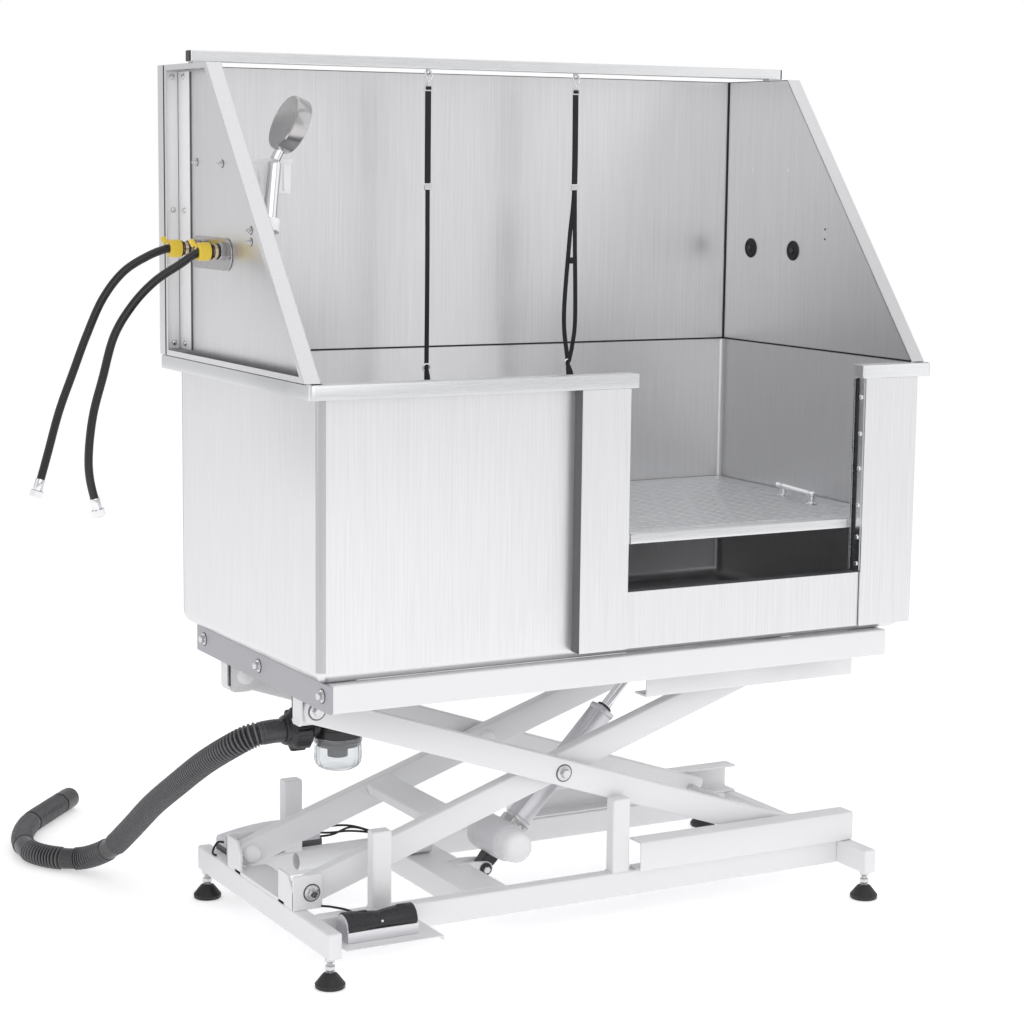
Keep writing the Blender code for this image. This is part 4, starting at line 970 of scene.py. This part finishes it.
def pedal():
    shelf = prism("pedal_shelf", mm((-552.7, 71), (-552.7, 73), (-366.2, 73), (-365, 71.8), (-365, 64),
        (-367, 64), (-367, 71)), "y", -0.312, -0.2056, "white", "base", 0.0005, 2)
    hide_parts("pedal_tray")
    base = on_pedal(prism("pedal_base_skin", mm((-25, 73.3), (-25, 91.5), (-24, 92.5), (-22, 92.5),
        (-22, 76.5), (22, 76.5), (22, 92.5), (24, 92.5), (25, 91.5), (25, 73.3)), "x", -0.068, 0.068,
        "alu", "base", 0.0006, 2))
    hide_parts("pedal_base")
    for x in (-0.0682, 0.0652):
        outline = [(-0.0222, 0.0735), (0.0222, 0.0735), (0.0222, 0.0965)] + half_turn((0.0, 0.0965),
            0.0222, 0.0, 18)[1:-1] + [(-0.0222, 0.0965)]
        on_pedal(prism("pedal_cheek_%d" % (x > 0), outline, "x", x, x + 0.003, "alu", "base", 0.0008, 2))
    points = []
    steps, sides = 28, 20
    for i in range(steps + 1):
        share = i / steps
        waist = 1.0 - 0.22 * max(0.0, 1 - abs(share - 0.5) / 0.42) ** 1.3
        wall = 0.0022
        outside = half_turn((0.0, 0.0), 0.0255 * waist, 0.0, sides)
        inside = half_turn((0.0, 0.0), 0.0255 * waist - wall, 0.0, sides)[::-1]
        for loop in (outside, inside):
            points += [(-0.066 + 0.132 * share, u, 0.0945 + 0.002 * (1 - waist) + v * 1.08) for u,
                v in loop]
    size = 2 * (sides + 1)
    faces = bands(steps + 1, size) + caps(steps + 1, size)
    rocker = on_pedal(add("rocker_skin", points, faces, "black", "pedal", 0.0006, 40, 2))
    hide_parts("pedal_rocker")
    for x in (-0.03, 0.044):
        on_pedal(block("pedal_rib_%d" % (x > 0), (x - 0.008, -0.003, 0.1165),
            (x + 0.008, 0.003, 0.1212 if x < 0 else 0.1228), "black", "pedal", 0.001))
    on_pedal(lathe("pedal_lamp", mm((0, -2), (2.2, -2), (2.2, 0.4), (1.4, 1.2), (0, 1.3)),
        (0.0, -0.0196, 0.1035), (0, -0.95, 0.3), "cap", "pedal", 16))


CABLES = {
    "box_lead": mm((-550, 250, 118), (-564, 248, 121), (-574, 244, 112), (-579, 238, 103.5),
        (-576, 228, 101.8)),
    "loop_a": mm((-364, 250, 118), (-330, 238, 126), (-295, 225, 125), (-260, 205, 114),
        (-240, 180, 103.5)),
    "loop_b": mm((-364, 240, 108), (-335, 228, 112), (-300, 220, 124), (-270, 200, 118),
        (-245, 170, 103.5)),
    "loop_c": mm((-364, 260, 112), (-330, 255, 108), (-290, 245, 109), (-255, 215, 108),
        (-235, 160, 103.5)),
    "pedal_lead": mm((-529, -154.5, 104.5), (-517, -174, 106.5), (-496, -202, 104),
        (-482, -220, 90), (-478, -231, 82)),
}


def cables():
    """Short fixed leads between the box, the conduit and the pedal."""
    for name, points in CABLES.items():
        wire(name, points, 0.0021, "gasket", "base")


def control_box():
    points = []
    steps = 10
    x0, x1, y0, y1 = -0.5523, -0.36, 0.219, 0.29
    outline = [(y0, 0.06), (y1, 0.06), (y1, 0.108), (y1 - 0.004, 0.112), (y0 + 0.004, 0.112), (y0, 0.108)]
    body = prism("box_body", outline, "x", x0, x1, "box_dark", "base", 0.002, 3)
    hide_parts("control_box")
    for i in range(steps + 1):
        share = i / steps
        top = 0.1165 + 0.0225 * sin(pi * min(share * 0.62 + 0.12, 1.0))
        x = x0 + (x1 - 0.004 - x0) * share
        points += [(x, y0 + 0.001, 0.108), (x, y0 + 0.001, top - 0.006), (x, y0 + 0.007, top),
                   (x, y1 - 0.007, top), (x, y1 - 0.001, top - 0.006), (x, y1 - 0.001, 0.108)]
    faces = bands(steps + 1, 6) + caps(steps + 1, 6)
    add("box_lid", points, faces, "box_top", "base", 0.002, 50, 3)
    cables()


# --- water -------------------------------------------------------------------

REAR_HOSE = [
    (-0.6375, 0.232, 1.2475), (-0.66, 0.232, 1.2475), (-0.697, 0.232, 1.235), (-0.745, 0.232, 1.2065),
    (-0.785, 0.232, 1.158), (-0.816, 0.232, 1.093), (-0.842, 0.232, 1.028), (-0.869, 0.232, 0.9585),
    (-0.892, 0.232, 0.881), (-0.911, 0.232, 0.818),
]
FRONT_HOSE = [
    (-0.6385, 0.088, 1.2475), (-0.655, 0.088, 1.2465), (-0.673, 0.088, 1.238), (-0.691, 0.088, 1.226),
    (-0.738, 0.088, 1.197), (-0.78, 0.088, 1.156), (-0.8145, 0.088, 1.1025), (-0.836, 0.088, 1.031),
    (-0.854, 0.088, 0.968), (-0.863, 0.088, 0.904), (-0.862, 0.088, 0.855), (-0.849, 0.088, 0.799),
]
DRAIN_HOSE = [
    (-0.5615, -0.065, 0.407), (-0.59, -0.065, 0.407), (-0.622, -0.058, 0.401), (-0.65, -0.028, 0.378),
    (-0.671, 0.045, 0.334), (-0.6835, 0.14, 0.276), (-0.69, 0.26, 0.206), (-0.691, 0.39, 0.124),
    (-0.699, 0.48, 0.066), (-0.727, 0.555, 0.03), (-0.77, 0.605, 0.023), (-0.8, 0.67, 0.023),
    (-0.79, 0.76, 0.023), (-0.745, 0.86, 0.023), (-0.68, 0.94, 0.023), (-0.6, 1.03, 0.023),
]


def supply_hoses():
    plate = prism("inlet_plate_skin", half_turn((0.081, 1.242), 0.029, pi / 2) + half_turn((0.221, 1.242),
        0.029, -pi / 2), "x", -0.61, -0.6072, "satin", "tub", 0.0008, 2)
    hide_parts("inlet_plate")
    for label, route, y in (("rear", REAR_HOSE, 0.232), ("front", FRONT_HOSE, 0.088)):
        spots, length = curve_points(route, 0.006)
        loop = circle(0.0075, 20)
        hose = along_path("hose_" + label, spots, lambda i, s: loop, "rubber", "tub")
        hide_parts("supply_hose_" + label)
        lathe("inlet_nut_" + label, mm((0, 0), (15, 0), (16, 1), (16, 9), (15, 10), (0, 10)),
                        (-0.6095, y, INLET_Z), LEFT, "satin", "tub", 6, smooth=20)
        lathe("inlet_neck_" + label, mm((0, 0), (10.5, 0), (10.5, 4), (12.8, 5), (12.8, 11), (10.5, 12),
            (10.5, 20), (0, 20)), (-0.619, y, INLET_Z), LEFT, "brass", "tub", 28)
        for i in range(2):
            lathe("inlet_ring_%s_%d" % (label, i), mm((10.5, 0), (14.2, 0), (14.6, 0.8), (14.2, 3.2),
                (10.5, 3.2)), (-0.6205 - 0.0125 * i, y, INLET_Z), LEFT, "black", "tub", 28)
        at, way = spots[0], Vector(LEFT)
        clip = lathe("clip_" + label, mm((7.8, 0), (15, 0), (16.2, 1.2), (16.2, 20.5), (15, 21.5),
            (7.8, 21.5)), at + Vector((0.001, 0, 0)), way, "yellow", "tub", 36)
        tag = block("clip_tag_" + label, (-0.0045, -0.004, 0.011), (0.0045, 0.004, 0.0245), "yellow",
            None, 0.002)
        tag.data.transform(Matrix.Translation(at - Vector((0.021, 0, 0))) @ Matrix.Rotation(radians(-30),
            4, "Y"))
        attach(tag, "tub")
        end, tail = spots[-1], (spots[-1] - spots[-4]).normalized()
        ferrule = lathe("ferrule_" + label, mm((0, -22), (8.6, -22), (9, -21), (9, -1), (8.4, 0), (0, 0)),
            end, tail, "chrome", "tub", 28)
        nut = lathe("end_nut_" + label, mm((5.5, 0), (12, 0), (13, 1), (13, 11), (11.5, 13), (5.5, 13)),
            end - tail * 0.001, tail, "chrome", "tub", 6, smooth=20)


def drain_hose():
    """A corrugated hose: fine ribs, smooth cuffs and a wider socket at its end."""
    spots, length = curve_points(DRAIN_HOSE, 0.0012)
    cuffs = ((0.0, 0.036), (0.5, 0.528), (0.602, 0.622), (0.69, 0.722), (0.842, 0.852), (0.955, 1.0))
    socket = 0.962
    loops = {}

    def section(i, share):
        smooth = any(a <= share <= b for a, b in cuffs)
        radius = 0.0207 if smooth else 0.019 + 0.0038 * (0.0, 0.45, 1.0, 1.0, 0.45, 0.0)[i % 6]
        if share >= socket:
            radius = 0.0229
        elif share < 0.03:
            radius = 0.0212
        if share > 0.994:
            radius = 0.0222
        if radius not in loops:
            loops[radius] = circle(radius, 28)
        return loops[radius]

    hose = along_path("drain_hose_skin", spots, section, "hose", "tub", smooth=30)
    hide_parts("drain_hose")
    end, tail = spots[-1], (spots[-1] - spots[-8]).normalized()
    lip = lathe("socket_bore", mm((0, 0), (18.5, 0), (18.5, 0.6), (0, 0.6)), end, tail, "gasket", "tub",
        28)


def drain_trap():
    trap = lathe("trap_body", mm((0, 541), (33.5, 541), (34, 540), (34, 533), (30, 529), (22.5, 527),
        (22, 442), (26, 440), (44, 435), (46, 432), (46.2, 403), (47, 402), (47, 388), (45.5, 386.8),
        (0, 386.8)), DRAIN, UP, "black", "tub", 48)
    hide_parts("drain_trap")
    lathe("trap_thread", mm((0, 386.8), (40, 386.8), (40, 384), (38.5, 383), (40, 382), (38.5, 380),
        (40, 378), (38.5, 376), (38.5, 370), (0, 370)), DRAIN, UP, "black", "tub", 40)
    lathe("trap_tube", mm((0, 371), (19, 371), (19, 350), (16.5, 349), (0, 349)), DRAIN, UP, "black",
        "tub", 32)
    rod("trap_outlet", (DRAIN.x, DRAIN.y, OUTLET_Z), (-0.52, DRAIN.y, OUTLET_Z), 0.019, "black", "tub",
        32)
    wings = lambda angle, height: 1.0 + (0.16 if cos(8 * angle) > 0.3 else 0.0) * (0.004 < height < 0.036)
    lathe("union_nut", mm((0, 0), (31, 0), (33.5, 3), (34, 7), (34, 29), (33.5, 33), (30, 37), (27, 41.5),
        (0, 41.5)), (-0.516, DRAIN.y, OUTLET_Z), LEFT, "black", "tub", 64, wings, smooth=30)
    lathe("hose_collar", mm((0, 0), (26.5, 0), (26.8, 4), (25, 7.5), (0, 7.5)),
        (-0.557, DRAIN.y, OUTLET_Z), LEFT, "black", "tub", 40)
    ribs = lambda angle, height: 1.0 + (0.022 * max(0.0, cos(20 * angle)) if 0.01 < height < 0.05
        else 0.0)
    cup = lathe("cup_skin", mm((0, 0), (22, 0), (30, 1), (37.2, 5.5), (41, 12), (42.5, 20), (42.5, 50),
        (44, 51), (44, 58.5), (41.2, 58.5), (40, 49), (40, 21), (38.5, 13), (35, 7.5), (29, 3.4),
        (22, 2.4), (0, 2.4)), (DRAIN.x, DRAIN.y, 0.3275), UP, "clear", "cup", 80, ribs)
    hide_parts("trap_cup")


def shower_set():
    mixer = rod("mixer_skin", (-0.562, 0.072, 1.247), (-0.562, 0.248, 1.247), 0.021, "chrome", "tub", 40,
        0.003)
    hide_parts("mixer_body")
    for i, y in enumerate((0.09, 0.23)):
        lathe("mixer_rose_%d" % i, mm((0, 0), (31, 0), (31, 3), (25, 8.5), (15, 12), (13.5, 40), (0, 40)),
            (-0.6047, y, 1.247), RIGHT, "chrome", "tub", 40)
    lathe("mixer_hub", mm((0, -4), (19, -4), (19.5, -2), (19.5, 16.5), (17, 20), (10, 21.5), (0, 21.8)),
        (-0.562, 0.16, 1.2665), UP, "chrome", "lever", 36)
    spots, _ = curve_points(mm((-562, 160, 1281), (-530, 160, 1286), (-500, 160, 1291.5),
        (-478, 160, 1297.5)), 0.003)
    lever = along_path("lever_blade", spots, lambda i, s: [(0.0105 * (1 - 0.25 * s) * cos(a),
        0.0048 * sin(a)) for a in [2 * pi * k / 16 for k in range(16)]], "chrome", "lever", up=UP)
    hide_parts("mixer_lever")
    grip_low, grip_top = Vector((-0.572, -0.024, 1.276)), Vector((-0.5445, 0.01, 1.412))
    way = (grip_top - grip_low).normalized()
    grip = lathe("grip", mm((0, 0), (10.5, 0), (12.5, 2), (12.8, 6), (12.2, 60), (12.8, 128), (12, 133.5),
        (0, 137.8)), grip_low, way, "chrome", "shower", 36)
    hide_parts("hand_shower")
    head, face = Vector((-0.516, 0.01, 1.4705)), Vector((0.92, 0.0, -0.39)).normalized()
    across = Vector((-face.z, 0.0, face.x))
    rod("shower_neck", grip_top - way * 0.004, head - across * 0.044, 0.0092, "chrome", "shower", 28)
    lathe("shower_head", mm((0, -13.9), (47.8, -13.2), (50, -11), (50, 13), (49, 14.8), (45.8, 15.2),
        (45, 14), (0, 14)), head, face, "satin", "shower", 72)
    turn = Vector(UP).rotation_difference(face).to_matrix()
    lathe("spray_plate", mm((0, 13.8), (44, 13.8), (44, 14.8), (0, 15.1)), head, face, "milky", "shower",
        48)
    points, faces = [], []
    for row, count in ((0.012, 6), (0.022, 12), (0.032, 18), (0.04, 22)):
        for i in range(count):
            a = 2 * pi * i / count
            centre = turn @ Vector((row * cos(a), row * sin(a), 0.0148)) + head
            base = len(points)
            for radius, height in ((0.0013, 0), (0.0008, 0.0016)):
                points += [centre + turn @ Vector((u, v, height)) for u, v in circle(radius, 6)]
            faces += [tuple(base + k for k in face) for face in bands(2, 6) + caps(2, 6)]
    add("spray_nozzles", points, faces, "gasket", "shower", smooth=50)
    bracket = block("holder_plate", (-0.6047, -0.048, 1.258), (-0.6, -0.01, 1.3), "chrome", "tub", 0.002)
    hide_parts("shower_holder")
    rod("holder_arm", (-0.602, -0.028, 1.281), (-0.586, -0.026, 1.287), 0.0075, "chrome", "tub")
    base = grip_low + way * 0.01
    lathe("holder_ring", mm((13.6, 0), (18.5, 0), (19, 1), (19, 21), (18.5, 22), (13.6, 22)), base, way,
        "milky", "tub", 36)


def shelf():
    """A moulded basket with upright ribs."""
    x0, x1, y0, y1, low, high = -0.6045, -0.5, 0.045, 0.235, 1.349, 1.41
    floor = block("shelf_floor", (x0, y0 + 0.003, low), (x1 - 0.003, y1 - 0.003, low + 0.0025), "milky",
        "tub", 0.0008)
    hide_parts("bottle_shelf")
    path = [(x0 + 0.004, y0), (x1, y0), (x1, y1), (x0 + 0.004, y1)]
    sweep("shelf_wall", path, [(0.0, low + 0.001), (-0.0015, high - 0.006), (0.001, high - 0.006),
        (0.0022, low + 0.001)], "milky", "tub", closed=True)
    sweep("shelf_rim", path, [(-0.003, high - 0.0065), (-0.003, high), (0.003, high),
        (0.003, high - 0.0015), (-0.001, high - 0.0065)], "milky", "tub", closed=True)
    # a dark ring just under the rim's edge: painted shadow under the rim
    sweep("shelf_line", path, [(0.0026, high - 0.0078), (0.0026, high - 0.0066), (0.0034, high - 0.0066),
        (0.0034, high - 0.0078)], "shade", "tub", closed=True)
    for i in range(14):
        y = y0 + 0.012 + i * (y1 - y0 - 0.024) / 13
        block("shelf_rib_x_%d" % i, (x1 - 0.0006, y - 0.0022, low + 0.006),
            (x1 + 0.0026, y + 0.0022, high - 0.01), "milky", "tub", 0.0008)
    for i in range(8):
        x = x0 + 0.012 + i * (x1 - x0 - 0.024) / 7
        block("shelf_rib_y_%d" % i, (x - 0.0022, y0 - 0.0026, low + 0.006),
            (x + 0.0022, y0 + 0.0006, high - 0.01), "milky", "tub", 0.0008)


# --- leads -------------------------------------------------------------------

LEAD_LEFT = [(-0.159, 0.183, 1.551), (-0.159, 0.183, 1.362), (-0.1585, 0.183, 1.2), (-0.159, 0.183, 1.02),
             (-0.16, 0.181, 0.935)]
LEAD_RIGHT = [(0.161, 0.183, 1.551), (0.161, 0.183, 1.362), (0.152, 0.183, 1.26), (0.142, 0.183, 1.11),
              (0.152, 0.183, 1.02), (0.156, 0.181, 0.935)]


def strap(name, route, wide, narrow, change):
    """A flat woven strap; it narrows below the height given."""
    spots, length = curve_points(route, 0.004)

    def section(i, share):
        half = (wide if spots[i].z > change else narrow) / 2
        thin = 0.0011 if spots[i].z > change else 0.0016
        return [(-half, -thin * 0.4), (-half + 0.0008, -thin), (half - 0.0008, -thin),
            (half, -thin * 0.4), (half, thin * 0.4), (half - 0.0008, thin), (-half + 0.0008, thin),
            (-half, thin * 0.4)]

    return along_path(name, spots, section, "web", "tub", up=(0, -1, 0.0001), smooth=50), spots, length


def snap_hook(label, x):
    """A swivel hook over the rail's eye, and the square loop that holds the strap."""
    return [wire("eye_" + label, [(x, 0.176, 1.5815), (x, 0.176, 1.574), (x, 0.183, 1.5695),
        (x, 0.19, 1.574), (x, 0.19, 1.5815)], 0.0016, "zinc", "tub", 0.0012, 10),
        wire("hook_" + label, [(x + 0.0005, 0.183, 1.558), (x + 0.0062, 0.183, 1.5625),
        (x + 0.008, 0.183, 1.5695), (x + 0.0045, 0.183, 1.5765), (x - 0.0015, 0.183, 1.5772),
        (x - 0.0052, 0.183, 1.573)], 0.0018, "chrome", "tub", 0.0012, 12),
        wire("gate_" + label, [(x - 0.0052, 0.183, 1.573), (x - 0.005, 0.183, 1.566),
        (x - 0.001, 0.183, 1.559)], 0.0013, "chrome", "tub", 0.0012, 10),
        lathe("swivel_" + label, mm((0, 0), (3.2, 0), (4.2, 1.2), (4.2, 4.2), (2.6, 5.6), (2.6, 8.8),
        (0, 8.8)), (x, 0.183, 1.55), UP, "chrome", "tub", 24),
        sweep("loop_" + label, [(x - 0.0085, 1.5395), (x + 0.0085, 1.5395), (x + 0.0085, 1.551),
        (x - 0.0085, 1.551)], mm((0, 181.2), (0, 184.8), (2.6, 184.8), (2.6, 181.2)), "chrome", "tub",
        closed=True, plane="xz", bevel=0.0005), ]


def leads():
    for label, route, x in (("left", LEAD_LEFT, -0.159), ("right", LEAD_RIGHT, 0.161)):
        made, spots, length = strap("lead_strap_" + label, route, 0.0125, 0.009, 1.362)
        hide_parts("lead_" + label)
        pieces = snap_hook(label, x)
        pieces.append(block("slider_" + label, (x - 0.0078, 0.1795, 1.3555), (x + 0.0078, 0.1865, 1.3685),
            "chrome", "tub", 0.0022))
        knot_x = min(spots, key=lambda p: abs(p.z - 1.018)).x
        pieces.append(ring("ring_" + label, (knot_x, 0.183, 1.02), (0, 1, 0.15), 0.0072, 0.0016, "chrome",
            "tub"))
        side = [(knot_x, 0.183, 1.018), (knot_x + (0.004 if label == "left" else 0.009), 0.1815, 0.99),
            (knot_x + 0.006, 0.181, 0.935)]
        tail, _, _ = strap("tail_" + label, side, 0.0085, 0.0085, 0)
        pieces.append(tail)
        if label == "right":
            other = mm((161.5, 181.5, 1360), (163.2, 181.5, 1260), (166.5, 181.5, 1110),
                (161, 181.5, 1055), (153.5, 181.5, 1022))
            strand, _, _ = strap("strand_right", other, 0.009, 0.009, 0)
            pieces.append(strand)
            pieces.append(block("keeper_right", (0.1495, 0.1795, 1.214), (0.1665, 0.186, 1.226), "web",
                "tub", 0.0012))


# --- assembly ----------------------------------------------------------------

set_camera()
set_light()
set_stage()
tub_shell()
rim()
doorway()
perforated("deck_left", -0.602, -0.001, "deck_left", "floor_panel_left")
perforated("deck_right", 0.001, 0.602, "deck_right", "floor_panel_right")
lift_handle("handle_right", (0.545, -0.004), (0.529, -0.122), "deck_right")
lift_handle("handle_left", (-0.545, -0.004), (-0.529, -0.122), "deck_left")
splash_guards()
upper_frame()
base_frame()
for depth, foot_y in (("front", -0.277), ("back", 0.295)):
    levelling_foot(depth + "_left", -0.568, foot_y)
    levelling_foot(depth + "_right", 0.569, foot_y)
scissor()
actuator()
pedal()
control_box()
supply_hoses()
drain_hose()
drain_trap()
shower_set()
shelf()
leads()
